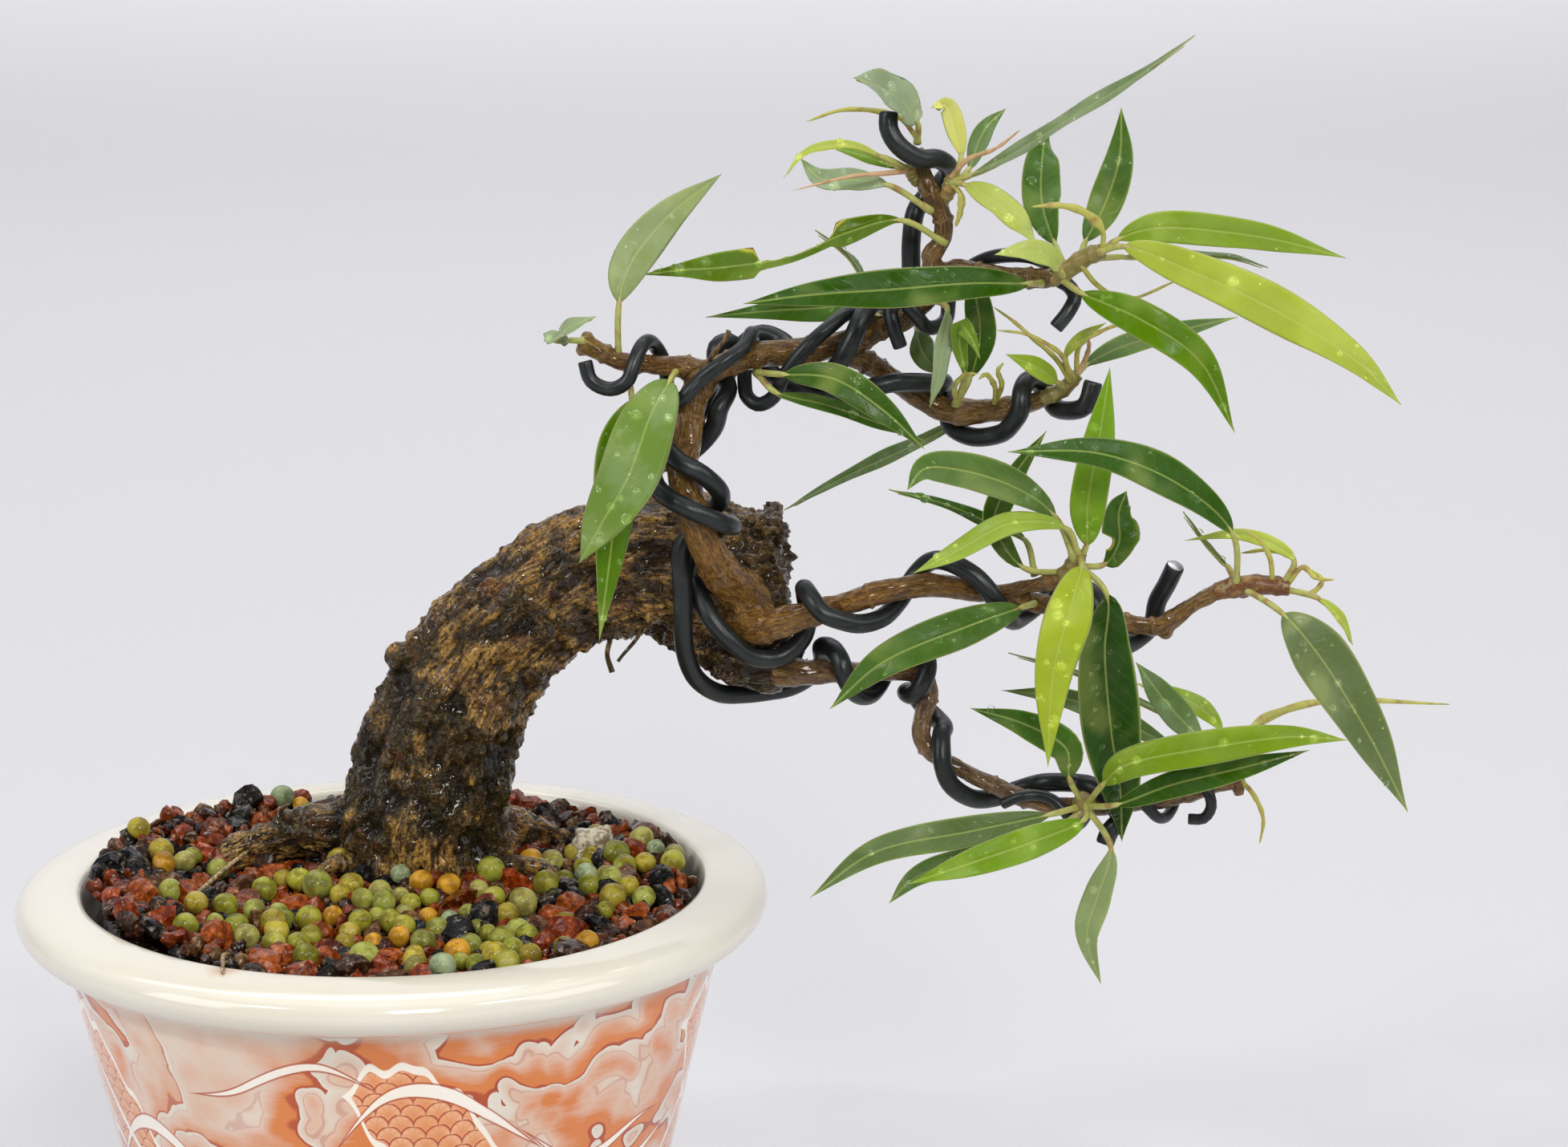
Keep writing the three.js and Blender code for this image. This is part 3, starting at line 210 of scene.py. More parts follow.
def tree_of(*terms):
    """The shader tree that holds the first socket among the terms."""
    return next(term.id_data for term in terms if isinstance(term, bpy.types.NodeSocket))


def calc(operation, *terms):
    """One Math node over numbers and sockets."""
    return node(tree_of(*terms), "ShaderNodeMath", dict(enumerate(terms)), operation=operation).outputs[0]


def times(first, second):
    """first * second"""
    return calc("MULTIPLY", first, second)


def plus(first, second):
    """first + second"""
    return calc("ADD", first, second)


def minus(first, second):
    """first - second"""
    return calc("SUBTRACT", first, second)


def xyz(vector):
    """The three parts of a vector."""
    return node(tree_of(vector), "ShaderNodeSeparateXYZ", {0: vector}).outputs


def joined_xyz(x, y, z):
    """A vector of three parts."""
    return node(tree_of(x, y, z), "ShaderNodeCombineXYZ", {0: x, 1: y, 2: z}).outputs[0]


def soft_step(value, low, high):
    """0 below low and 1 above high, with a smooth ramp between, also where low is above high."""
    inputs = {0: value, 1: low, 2: high, 3: 0.0, 4: 1.0}
    return node(tree_of(value), "ShaderNodeMapRange", inputs, interpolation_type="SMOOTHSTEP").outputs[0]


def mixed(share, under, over, blend="MIX"):
    """Colour under, covered by colour over by the share."""
    inputs = {0: share, 6: under, 7: over}
    tree = tree_of(share, under, over)
    return node(tree, "ShaderNodeMix", inputs, data_type="RGBA", blend_type=blend).outputs[2]


def layered(colour, layers):
    """The colour with layers of (share, tone) laid over it in turn."""
    for share, over in layers:
        colour = mixed(share, colour, tone(over))
    return colour


def noise(place, scale, detail=4.0, roughness=0.55):
    """Fractal noise from 0 to 1 at a place; scale counts its features per unit of the place."""
    inputs = {"Vector": place, "Scale": scale, "Detail": detail, "Roughness": roughness, "Distortion": 0.0}
    return node(tree_of(place), "ShaderNodeTexNoise", inputs).outputs[0]


def object_place(tree):
    """The place on the piece in its own metres."""
    return node(tree, "ShaderNodeTexCoord").outputs["Object"]


def point_mark(tree, name, output):
    """A mark that the mesh's points carry: Vector, Color or Fac."""
    return node(tree, "ShaderNodeAttribute", attribute_name=name).outputs[output]


def finish(name, **sockets):
    """A new material with a Principled shader; plain values go on the shader's own sockets."""
    material = bpy.data.materials.new(name)
    material.use_nodes = True
    tree = material.node_tree
    shader = tree.nodes["Principled BSDF"]
    feed(shader, **sockets)
    return material, tree, shader


def bumped(shader, height, strength, distance):
    """Feed a height, in shares of distance, to the shader's normal."""
    inputs = {"Strength": strength, "Distance": distance, "Height": height}
    feed(shader, Normal=node(tree_of(height), "ShaderNodeBump", inputs).outputs[0])


def group(name, inputs, outputs):
    """A shader group with number inputs, colour inputs (a default of 4 values) and named outputs."""
    tree = bpy.data.node_groups.new(name, "ShaderNodeTree")
    for key, value in inputs.items():
        kind = "NodeSocketFloat"
        if value is None:
            kind = "NodeSocketVector"
        elif isinstance(value, tuple):
            kind = "NodeSocketColor"
        socket = tree.interface.new_socket(name=key, in_out="INPUT", socket_type=kind)
        if value is not None:
            socket.default_value = value
    for key, kind in outputs.items():
        tree.interface.new_socket(name=key, in_out="OUTPUT", socket_type=kind)
    return tree, tree.nodes.new("NodeGroupInput"), tree.nodes.new("NodeGroupOutput")


def placed(tree, shared, **inputs):
    """One use of a shared group in a material, with its own values."""
    made = tree.nodes.new("ShaderNodeGroup")
    made.node_tree = shared
    feed(made, **inputs)
    return made


# Small dark or pale specks: pinholes in a glaze, grit on bark.
specks, source, result = group(
    "specks", {"Place": None, "Per Metre": 400.0, "Share": 0.2, "Size": 0.2}, {"Mask": "NodeSocketFloat"})
cells = node(
    specks, "ShaderNodeTexVoronoi",
    {"Vector": source.outputs["Place"], "Scale": source.outputs["Per Metre"]})
chosen = calc(
    "LESS_THAN", node(specks, "ShaderNodeSeparateColor", {0: cells.outputs["Color"]}).outputs[0],
    source.outputs["Share"])
speck_size = source.outputs["Size"]
spot = soft_step(cells.outputs["Distance"], speck_size, times(speck_size, 0.6))
feed(result, Mask=times(chosen, spot))


def pot_height_and_turn(place):
    """Height on the wall in mm, and the turn round it in radians: 0 in front, -pi and pi at the back."""
    x, y, z = xyz(place)
    return times(z, MM_PER_M), calc("ARCTAN2", x, times(y, -1.0))


def wave_line(turn, level, swings):
    """A line round the pot: the level plus sine swings of (mm, whole count, phase)."""
    height = level
    for reach, count, phase in swings:
        angle = plus(times(turn, float(count)), phase)
        height = plus(height, times(calc("SINE", angle), reach))
    return height


def fish_scales(across, up):
    """Rows of overlapping round scales: (rim line mask, shade from root to rim, ray mask)."""
    row = calc("FLOOR", up)
    rise = minus(up, row)
    odd = times(calc("FLOORED_MODULO", row, 2.0), 0.5)
    shifted = plus(across, odd)
    near_x = minus(calc("FRACT", shifted), 0.5)
    far_x = minus(calc("FRACT", plus(shifted, 0.5)), 0.5)
    reach = []
    for x, y in ((near_x, rise), (far_x, minus(rise, 1.0))):
        tall = times(y, 0.52)
        square = plus(times(x, x), times(tall, tall))
        reach.append((calc("DIVIDE", calc("SQRT", square), 0.56), x, tall))
    inside = calc("LESS_THAN", reach[0][0], 1.0)

    def either(first, second):
        """The first inside the near scale, the second outside it."""
        return plus(times(first, inside), times(second, minus(1.0, inside)))

    shade = either(reach[0][0], reach[1][0])
    rim = soft_step(shade, 0.8, 0.93)
    bearing = calc("ARCTAN2", either(reach[0][1], reach[1][1]), either(reach[0][2], reach[1][2]))
    rays = calc("SINE", times(bearing, 9.0))
    return rim, shade, soft_step(rays, 0.55, 0.95)


glaze, tree, shader = finish(
    "painted ivory glaze", Roughness=0.13, IOR=1.5, Coat_Weight=0.35, Coat_Roughness=0.05)
place = object_place(tree)
height, turn = pot_height_and_turn(place)
bend = node(tree, "ShaderNodeTexNoise", {"Vector": place, "Scale": 34.0, "Detail": 2.0})
drift = times(minus(bend.outputs[0], 0.5), 11.0)
swirled = node(
    tree, "ShaderNodeMix", {0: 0.03, 4: place, 5: bend.outputs[1]}, data_type="VECTOR").outputs[1]
# Cloud banks: contour lines of a slow field, scalloped by round cells, each with a wash that fades inwards.
billow = noise(swirled, 25.0, 1.6)
puffs = node(
    tree, "ShaderNodeTexVoronoi", {"Vector": swirled, "Scale": 190.0}, feature="F1").outputs["Distance"]
phase = calc("FRACT", plus(times(billow, 10.5), times(puffs, 0.5)))
blank = soft_step(noise(place, 16.0, 1.0), 0.24, 0.42)
washes = times(calc("POWER", minus(1.0, phase), 0.85), blank)
contours = times(soft_step(calc("ABSOLUTE", minus(phase, 0.8)), 0.03, 0.01), 0.35)
outlines = times(plus(0.35, times(blank, 0.65)), calc("MAXIMUM", soft_step(phase, 0.11, 0.06), contours))
bodies = 0.0
body_rims = 0.0
for level, rise, count, start, half in SCALE_BANDS:
    swing = plus(times(turn, count), start)
    middle = plus(level, times(calc("SINE", plus(swing, 1.75)), rise))
    swell = times(calc("SINE", swing), half)
    size = wave_line(turn, swell, BAND_RIPPLES)
    off = calc("ABSOLUTE", minus(plus(height, times(drift, 0.5)), middle))
    gap = minus(off, size)
    bodies = calc("MAXIMUM", bodies, soft_step(gap, 0.15, -0.15))
    body_rims = calc("MAXIMUM", body_rims, soft_step(calc("ABSOLUTE", minus(gap, 0.8)), 0.8, 0.55))
scale_rim, scale_shade, scale_rays = fish_scales(
    times(turn, SCALES_ROUND / FULL_TURN), times(plus(height, times(drift, 0.6)), 0.56))
ribbons = 0.0
ribbon_rims = 0.0
for level, swings, count, start, wide in RIBBONS:
    middle = wave_line(turn, level, swings)
    swell = calc("SINE", plus(times(turn, count), start))
    size = times(minus(swell, 0.1), wide)
    away = calc("ABSOLUTE", minus(plus(height, times(drift, 0.3)), middle))
    off = minus(calc("DIVIDE", away, RIBBON_STEEP), size)
    ribbons = calc("MAXIMUM", ribbons, soft_step(off, 0.08, -0.08))
    ribbon_rims = calc("MAXIMUM", ribbon_rims, soft_step(calc("ABSOLUTE", minus(off, 0.12)), 0.16, 0.04))
pooled = noise(place, 200.0, 4.0)
bristle = noise(joined_xyz(times(turn, 5.0), times(height, 0.9), billow), 2.0, 3.0)
strength = times(washes, plus(0.95, times(pooled, 1.1)))
strength = times(strength, plus(0.7, times(bristle, 0.5)))
painted = layered(tone(IVORY), [(strength, IRON_WASH), (times(outlines, 0.95), IRON_LINE)])
scales = layered(mixed(times(scale_shade, 0.55), tone(SCALE_ROOT), tone(SCALE_EDGE)), [
    (times(scale_rays, 0.45), SCALE_RAY),
    (times(soft_step(pooled, 0.55, 0.4), 0.4), SCALE_POOL),
    (scale_rim, IRON_LINE)])
painted = layered(mixed(bodies, painted, scales), [
    (body_rims, BAND_EDGE),
    (times(ribbon_rims, 0.85), IRON_LINE),
    (ribbons, RIBBON)])
uneven = plus(height, times(drift, 0.5))
on_wall = times(soft_step(uneven, 77.0, 74.0), soft_step(height, 3.0, 6.5))
x, y, _ = xyz(place)
radius = times(calc("SQRT", plus(times(x, x), times(y, y))), MM_PER_M)
wall_line = plus(times(height, 0.23), 33.0)
on_wall = times(on_wall, calc("GREATER_THAN", radius, wall_line))
pinholes = placed(tree, specks, Place=place, Per_Metre=130.0, Share=0.06, Size=0.045).outputs[0]
stain_gap = node(
    tree, "ShaderNodeVectorMath", {0: place, 1: LIP_STAIN_PLACE}, operation="DISTANCE").outputs[1]
stain = soft_step(plus(stain_gap, times(pooled, 0.003)), 0.0052, 0.0018)
coloured = layered(mixed(on_wall, tone(IVORY), painted), [
    (times(pinholes, 0.7), PINHOLE),
    (times(stain, 0.55), LIP_STAIN)])
cloudy = times(soft_step(noise(place, 24.0, 3.0), 0.42, 0.7), 0.35)
coloured = mixed(cloudy, coloured, mixed(1.0, coloured, tone(GLAZE_CLOUD), "MULTIPLY"))
feed(shader, Base_Color=coloured)
bumped(shader, noise(place, 90.0, 2.0), 0.08, 0.001)

pot_profile = np.maximum(even_samples(POT_OUTSIDE, POT_STATIONS), 0)
pot = add_mesh("glazed_pot", [turned(pot_profile, POT_SEGMENTS)], [glaze])
drills = []
for degrees in DRAIN_TURNS:
    low, high = DRAIN_DRILL
    bore = np.array([(0, low), (DRAIN_RADIUS, low), (DRAIN_RADIUS, high), (0, high)], float)
    bore = turned(bore, DRAIN_SEGMENTS)
    angle = np.radians(degrees)
    bore["points"] += [DRAIN_CIRCLE * np.cos(angle), DRAIN_CIRCLE * np.sin(angle), 0]
    drills.append(bore)
drill = add_mesh("drain_drill", drills, [glaze])
cut = pot.modifiers.new("drains", "BOOLEAN")
cut.operation = "DIFFERENCE"
cut.object = drill
bpy.context.view_layer.update()
drilled = bpy.data.meshes.new_from_object(pot.evaluated_get(bpy.context.evaluated_depsgraph_get()))
pot.modifiers.clear()
pot.data = drilled
pot.data.name = "glazed_pot"
bpy.data.objects.remove(drill)
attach(pot, "root")
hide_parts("pot")


# The soil: brick-red, brown and black lava grit, with round olive and ochre feed pellets on top.
# It is poured in loose round the roots, so stones lie at every angle on a low mound.

SOIL_SEED = 20
# The bank up to the wall: radius where it starts, its width, and heights all round, at the sides, behind.
BANK_START = 30
BANK_WIDTH = 14
BANK_HEIGHTS = (1.8, 0.8, 0.9)
SOIL_LEVEL = 79.2
TRUNK_FOOT = (3.7, 12.0)
TRUNK_FOOT_RADIUS = 12.6
GRIT_MOUTH = 48.7
# Tries, size range in mm and spacing of the stones: a top layer, small ones between, and a layer below.
COARSE = (1100, (1.9, 3.0), 0.72)
FINE = (5200, (1.0, 1.8), 0.74)
UNDER = (1500, (1.8, 2.8), 0.78)
PELLET_TRIES = 12
PELLET_SIZES = (1.45, 2.1)
PELLET_SPACING = 0.86
# The bed under the stones: its side in the pot, and the rings of its top, which soil_top then lifts.
BED_SIDE = [(0, 7.4), (28.2, 7.4), (33.3, 12), (48.1, 77), (48.2, 78)]
BED_RINGS = (46, 2, 23)
BED_FLAT = 79
BED_SUNK = 0.9
BED_SEGMENTS = 96
WHITE_STONE = (31.0, 17.6, 84.2)
WHITE_STONE_SIZE = 3.5
PELLET_HEAPS = [
    (5, -17, 15, 12, 52), (35, 8, 9, 14, 26), (-24, 3, 12, 12, 9), (-38, 8, 7, 12, 6), (-14, -20, 9, 9, 9),
    (18, -33, 12, 7, 9), (-8, 34, 14, 6, 12),
]
PELLET_TONES = [
    (152, 149, 50), (168, 152, 52), (146, 150, 66), (146, 162, 122), (190, 140, 36), (162, 157, 82),
    (134, 136, 44)]
PELLET_CHANCES = (5, 4, 4, 1.6, 2, 2.4, 3)
GRIT_TONES = [
    (140, 56, 16), (152, 72, 22), (114, 46, 14), (98, 62, 38), (66, 42, 30), (36, 32, 30), (26, 26, 28),
    (112, 80, 46)]
GRIT_CHANCES = (5, 4.2, 4, 3, 3.4, 3, 2.6, 1)
GRAIN_SHADE = (168, 156, 148)
GRAIN_LIGHT = (226, 206, 170)
# The bed is dark soil, made darker still as painted shade for the gaps between the stones.
BED_SOIL_AND_PAINTED_SHADE = (34, 20, 14)
WHITE_STONE_TONE = (205, 196, 172)


def soil_top(x, y):
    """Height of the bed: higher to the left, mounded round the trunk, with a slight ripple."""
    ramp = np.clip((-x - 5) / 43, 0, 1)
    mound = np.exp(-((x - 4) ** 2 + (y - 10) ** 2) / 600)
    ripple = 0.35 * np.sin(0.31 * x + 0.7) * np.cos(0.27 * y)
    return SOIL_LEVEL + 3.6 * ramp * ramp * (3 - 2 * ramp) + 5.6 * mound + ripple


def lattice_noise(points, seed):
    """Smooth noise from -1 to 1: a hashed value at each whole corner, blended by cubic ramps."""
    cell = np.floor(points).astype(np.int64)
    part = points - cell
    ramp = part * part * (3 - 2 * part)
    total = np.zeros(len(points))
    for corner in np.ndindex(2, 2, 2):
        at = cell + corner
        mix = (at[:, 0] * 73856093) ^ (at[:, 1] * 19349663) ^ (at[:, 2] * 83492791) ^ (seed * 2654435)
        mix = ((mix ^ (mix >> 13)) * 1274126177) & 0x7FFFFFFF
        mix = ((mix ^ (mix >> 15)) * 2246822519) & 0x7FFFFFFF
        weight = np.prod(np.where(np.array(corner) == 1, ramp, 1 - ramp), axis=1)
        total += weight * (mix / 0x3FFFFFFF - 1)
    return total


def fractal_noise(points, octaves, seed):
    """Noise octaves summed, each twice as fine and half as strong."""
    return sum(lattice_noise(points * 2.0 ** step, seed + step) * 0.5 ** step for step in range(octaves))


def ball(subdivisions):
    """Points and triangles of a unit ball made of even triangles."""
    gold = (1 + 5 ** 0.5) / 2
    points = np.array([
        (-1, gold, 0), (1, gold, 0), (-1, -gold, 0), (1, -gold, 0), (0, -1, gold), (0, 1, gold),
        (0, -1, -gold), (0, 1, -gold), (gold, 0, -1), (gold, 0, 1), (-gold, 0, -1), (-gold, 0, 1)])
    faces = np.array([
        (0, 11, 5), (0, 5, 1), (0, 1, 7), (0, 7, 10), (0, 10, 11), (1, 5, 9), (5, 11, 4), (11, 10, 2),
        (10, 7, 6), (7, 1, 8), (3, 9, 4), (3, 4, 2), (3, 2, 6), (3, 6, 8), (3, 8, 9), (4, 9, 5), (2, 4, 11),
        (6, 2, 10), (8, 6, 7), (9, 8, 1)])
    for _ in range(subdivisions):
        edges = np.sort(np.vstack([faces[:, [0, 1]], faces[:, [1, 2]], faces[:, [2, 0]]]), axis=1)
        unique, where = np.unique(edges, axis=0, return_inverse=True)
        middle = where.reshape(3, -1) + len(points)
        points = np.vstack([points, points[unique].mean(axis=1)])
        ab, bc, ca = middle
        a, b, c = faces.T
        faces = np.vstack([
            np.stack(part, axis=1) for part in ((a, ab, ca), (ab, b, bc), (ca, bc, c), (ab, bc, ca))])
    return points / np.linalg.norm(points, axis=1, keepdims=True), faces


def random_turns(count, draws):
    """Count rotation matrices, even over all directions, from random unit quaternions."""
    q = draws.normal(size=(count, 4))
    w, x, y, z = (q / np.linalg.norm(q, axis=1, keepdims=True)).T
    rows = [1 - 2 * (y * y + z * z), 2 * (x * y - w * z), 2 * (x * z + w * y),
            2 * (x * y + w * z), 1 - 2 * (x * x + z * z), 2 * (y * z - w * x),
            2 * (x * z - w * y), 2 * (y * z + w * x), 1 - 2 * (x * x + y * y)]
    return np.stack(rows, axis=1).reshape(count, 3, 3)


def lumps(centres, sizes, stretch, roughness, tones, subdivisions, draws, finish_number):
    """Balls at the centres, stretched, turned and pushed in and out by noise; tones mark the points."""
    base, faces = ball(subdivisions)
    count = len(centres)
    axes = 1 + stretch * draws.uniform(-1, 1, size=(count, 1, 3))
    shape = base[None] * axes
    seeds = draws.uniform(-50, 50, size=(count, 1, 3))
    push = fractal_noise((base[None] * 1.15 + seeds).reshape(-1, 3), 2, 5).reshape(count, -1, 1)
    shape = shape * (1 + roughness * push)
    return placed_lumps(shape, faces, centres, sizes, tones, draws, finish_number)


def broken_stones(centres, sizes, tones, draws, finish_number):
    """Angular stones: a direction reaches to the least of d/(n.direction) over nine random planes n, d."""
    base, faces = ball(1)
    count = len(centres)
    planes = unit(draws.normal(size=(count, 9, 3)))
    depth = draws.uniform(0.5, 1.0, size=(count, 1, 9))
    facing = np.einsum("pi,nki->npk", base, planes)
    reach = np.min(np.where(facing > 0.1, depth / np.maximum(facing, 0.1), 9.0), axis=2)
    shape = base[None] * np.minimum(reach, 1.15)[..., None] * (
        1 + 0.3 * draws.uniform(-1, 1, size=(count, 1, 3)))
    seeds = draws.uniform(-50, 50, size=(count, 1, 3))
    pits = lattice_noise((base[None] * 2.3 + seeds).reshape(-1, 3), 3).reshape(count, -1, 1)
    made = placed_lumps(shape * (1 + 0.07 * pits), faces, centres, sizes, tones, draws, finish_number)
    made["faceted"] = True
    return made


def placed_lumps(shape, faces, centres, sizes, tones, draws, finish_number):
    """Turn each shape at random, size it and carry it to its centre."""
    count, points_each = shape.shape[:2]
    shape = np.einsum(
        "nij,nkj->nki", random_turns(count, draws), shape) * sizes[:, None, None] + centres[:, None]
    shift = np.arange(count)[:, None, None] * points_each
    return {
        "points": shape.reshape(-1, 3), "faces": [(faces[None] + shift).reshape(-1, 3)],
        "finish": finish_number, "marks": {"tint": np.repeat(tones, points_each, axis=0)}}


def unit(vectors):
    """Each vector at length one."""
    return vectors / np.maximum(np.linalg.norm(vectors, axis=-1, keepdims=True), 1e-9)


def scattered(layer, draws, taken):
    """Places on the bed, kept only where they clear those already taken by a share of both sizes."""
    tries, sizes, spacing = layer
    kept = []
    for _ in range(tries):
        radius = GRIT_MOUTH * np.sqrt(draws.random())
        angle = 2 * np.pi * draws.random()
        size = draws.uniform(*sizes)
        x, y = radius * np.cos(angle), radius * np.sin(angle)
        if radius + size > GRIT_MOUTH or np.hypot(x - TRUNK_FOOT[0], y - TRUNK_FOOT[1]) < TRUNK_FOOT_RADIUS:
            continue
        near = np.array(taken + kept) if taken or kept else np.zeros((0, 3))
        if np.any(np.hypot(near[:, 0] - x, near[:, 1] - y) < spacing * (near[:, 2] + size)):
            continue
        kept.append((x, y, size))
    return kept


# Damp shine in patches: wet places on stone and bark are smoother than dry ones.
damp, source, result = group(
    "damp patches",
    {"Place": None, "Per Metre": 300.0, "Dry Roughness": 0.85, "Wet Roughness": 0.3, "Share": 0.45},
    {"Roughness": "NodeSocketFloat", "Wet": "NodeSocketFloat"})
patch = noise(source.outputs["Place"], source.outputs["Per Metre"], 4.0, 0.6)
edge = minus(1.0, source.outputs["Share"])
wet = soft_step(patch, minus(edge, 0.08), plus(edge, 0.08))
rough = node(
    damp, "ShaderNodeMapRange",
    {
        0: wet, 1: 0.0, 2: 1.0, 3: source.outputs["Dry Roughness"],
        4: source.outputs["Wet Roughness"]}).outputs[0]
feed(result, Roughness=rough, Wet=wet)


def stone_finish(name, grain_scale, grain_share, pit_scale, pit_depth, roughness, wet_share):
    """Tinted stone with grains, pits and damp patches; the tint comes from each stone's own mark."""
    material, tree, shader = finish(name, IOR=1.45, Specular_IOR_Level=0.28)
    place = object_place(tree)
    tint = point_mark(tree, "tint", "Color")
    grain = noise(place, grain_scale, 4.0, 0.6)
    dark = mixed(1.0, tint, tone(GRAIN_SHADE), "MULTIPLY")
    light = mixed(0.22, tint, tone(GRAIN_LIGHT))
    colour = mixed(times(soft_step(grain, 0.56, 0.4), grain_share), tint, dark)
    colour = mixed(times(soft_step(grain, 0.56, 0.7), grain_share), colour, light)
    wetness = placed(tree, damp, Place=place, Per_Metre=260.0, Dry_Roughness=roughness, Wet_Roughness=0.2,
                     Share=wet_share)
    feed(shader, Base_Color=colour, Roughness=wetness.outputs["Roughness"])
    pits = node(tree, "ShaderNodeTexVoronoi", {"Vector": place, "Scale": pit_scale}).outputs["Distance"]
    bumped(shader, plus(pits, times(grain, 0.6)), 0.6, pit_depth)
    return material


lava = stone_finish("lava grit", 800.0, 1.0, 1200.0, 0.00012, 0.46, 0.7)
pellet_skin = stone_finish("feed pellet", 380.0, 0.75, 700.0, 0.00006, 0.36, 0.6)
soil_draws = np.random.default_rng(SOIL_SEED)
pellet_places = []
for heap_x, heap_y, wide, deep, count in PELLET_HEAPS:
    for _ in range(count):
        for _ in range(PELLET_TRIES):
            x = heap_x + wide * soil_draws.normal() * 0.6
            y = heap_y + deep * soil_draws.normal() * 0.6
            size = soil_draws.uniform(*PELLET_SIZES) + 0.4 * (soil_draws.random() > 0.85)
            near = np.array(pellet_places) if pellet_places else np.zeros((0, 3))
            clear = not np.any(
                np.hypot(near[:, 0] - x, near[:, 1] - y) < PELLET_SPACING * (near[:, 2] + size))
            off_trunk = np.hypot(x - TRUNK_FOOT[0], y - TRUNK_FOOT[1]) > TRUNK_FOOT_RADIUS + 1.2
            if clear and off_trunk and np.hypot(x, y) + size < GRIT_MOUTH - 0.4:
                pellet_places.append((x, y, size))
                break
coarse = scattered(COARSE, soil_draws, [(x, y, size * 0.55) for x, y, size in pellet_places])
fine = scattered(FINE, soil_draws, [(x, y, size * 0.8) for x, y, size in coarse])
under = scattered(UNDER, soil_draws, [])


def heap(places, lift):
    """Centres and sizes of stones on the bed, lifted by a share of their size and more towards the wall."""
    x, y, size = np.array(places).T
    away = np.hypot(x, y)
    everywhere, at_sides, behind = BANK_HEIGHTS
    bank = everywhere + at_sides * (np.abs(x) > 20) + behind * (y > -8)
    height = soil_top(x, y) + lift * size + np.clip((away - BANK_START) / BANK_WIDTH, 0, 1) * bank
    return np.stack([x, y, height], axis=1), size


def drawn_tones(count, tones, chances):
    """A tone for each stone by its chance, a little lighter or darker than its kind."""
    drawn = soil_draws.choice(len(tones), size=count, p=np.array(chances) / np.sum(chances))
    colours = np.array([tone(colour)[:3] for colour in tones])[drawn]
    return colours * soil_draws.uniform(0.75, 1.25, size=(count, 1))


def grit(places, lift, shade):
    """Broken lava stones at the places, in the grit's mixed tones darkened by the share given as shade; on
    the layer below, this darkening is painted shade.
    """
    centres, sizes = heap(places, lift)
    return broken_stones(
        centres, sizes, shade * drawn_tones(len(sizes), GRIT_TONES, GRIT_CHANCES), soil_draws, 0)


bed_rings = [(radius, BED_FLAT) for radius in np.linspace(*BED_RINGS)]
bed = turned(np.array(BED_SIDE + bed_rings + [(0, BED_FLAT)], float), BED_SEGMENTS)
upper = bed["points"][:, 2] > BED_FLAT - 0.5
bed["points"][upper, 2] = soil_top(bed["points"][upper, 0], bed["points"][upper, 1]) - BED_SUNK
# The bed's near-black brown is dark soil with painted shade for the gaps between the stones.
bed["marks"] = {"tint": np.tile(tone(BED_SOIL_AND_PAINTED_SHADE)[:3], (len(bed["points"]), 1))}
white_tone = np.array([tone(WHITE_STONE_TONE)[:3]])
white_stone = lumps(
    np.array([WHITE_STONE]), np.array([WHITE_STONE_SIZE]), 0.3, 0.4, white_tone, 3, soil_draws, 0)
pellet_centres, pellet_sizes = heap(pellet_places, 1.05)
# The layer below is darkened to 0.3 as painted shade in the gaps between the stones on top; the top and small
# stones are darkened to 0.9 and 0.8.
soil = add_mesh(
    "lava_grit_and_pellets",
    [
        bed, grit(under, -0.3, 0.3), grit(coarse, 0.35, 0.9), grit(fine, 0.4, 0.8), white_stone,
        lumps(
            pellet_centres, pellet_sizes, 0.07, 0.05,
            drawn_tones(len(pellet_sizes), PELLET_TONES, PELLET_CHANCES), 2, soil_draws, 1)],
    [lava, pellet_skin])
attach(soil, "root")
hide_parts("soil")


# The wood: one living fig stem, leaning and chopped, with its roots, branches and twigs.
# Its bark is flaky and mossy on the old trunk, and smooth, brown and ringed on the young wood.

BARK_SEED = 9
VOXEL = 0.455
SAMPLE_STEP = 0.6
# How far each limb's marks are moved on along its grain, so that no two limbs share their bark.
LIMB_SHIFT = 53.0
TRUNK_SIDES = 48
TRUNK_STEPS = 120
LIMB_SIDES = 20
ROOT_STEPS = 30
STEPS_PER_ROW = 8
# Columns of the samples along a limb.
COLUMNS = {
    "centre": slice(0, 3), "along": slice(3, 6), "side": slice(6, 9), "front": slice(9, 12), "radius": 12,
    "run": 13, "tint": slice(14, 17), "age": 17,
}
VIEWER = (0.0, -1.0, 0.0)
UPWARDS = (0.0, 0.0, 1.0)
TRUNK = [
    (4, 12, 70, 12.6), (3.2, 12, 84, 15.4), (4, 11.7, 91.5, 14.6), (5.8, 11, 99, 13.1),
    (8.4, 10, 107, 12.1), (11.8, 9, 115.2, 11.5), (17, 8, 122.4, 10.6), (25.5, 7.5, 129.2, 10.4),
    (34.5, 7, 133.4, 10.8), (43.5, 7, 134.2, 11.5), (51, 7, 132, 12.6), (57.5, 7, 129.8, 13.5),
    (62.2, 7, 129.6, 12.6)]
TRUNK_DEPTH = 0.88
TRUNK_TONES = [(92, 68, 44), (96, 72, 44), (116, 86, 52), (118, 88, 58)]
ROOT_TONES = [(86, 64, 42), (72, 54, 38), (58, 44, 34)]
ROOTLET_TONE = (46, 36, 28)
DRY_FIBRE_TONE = (214, 186, 138)
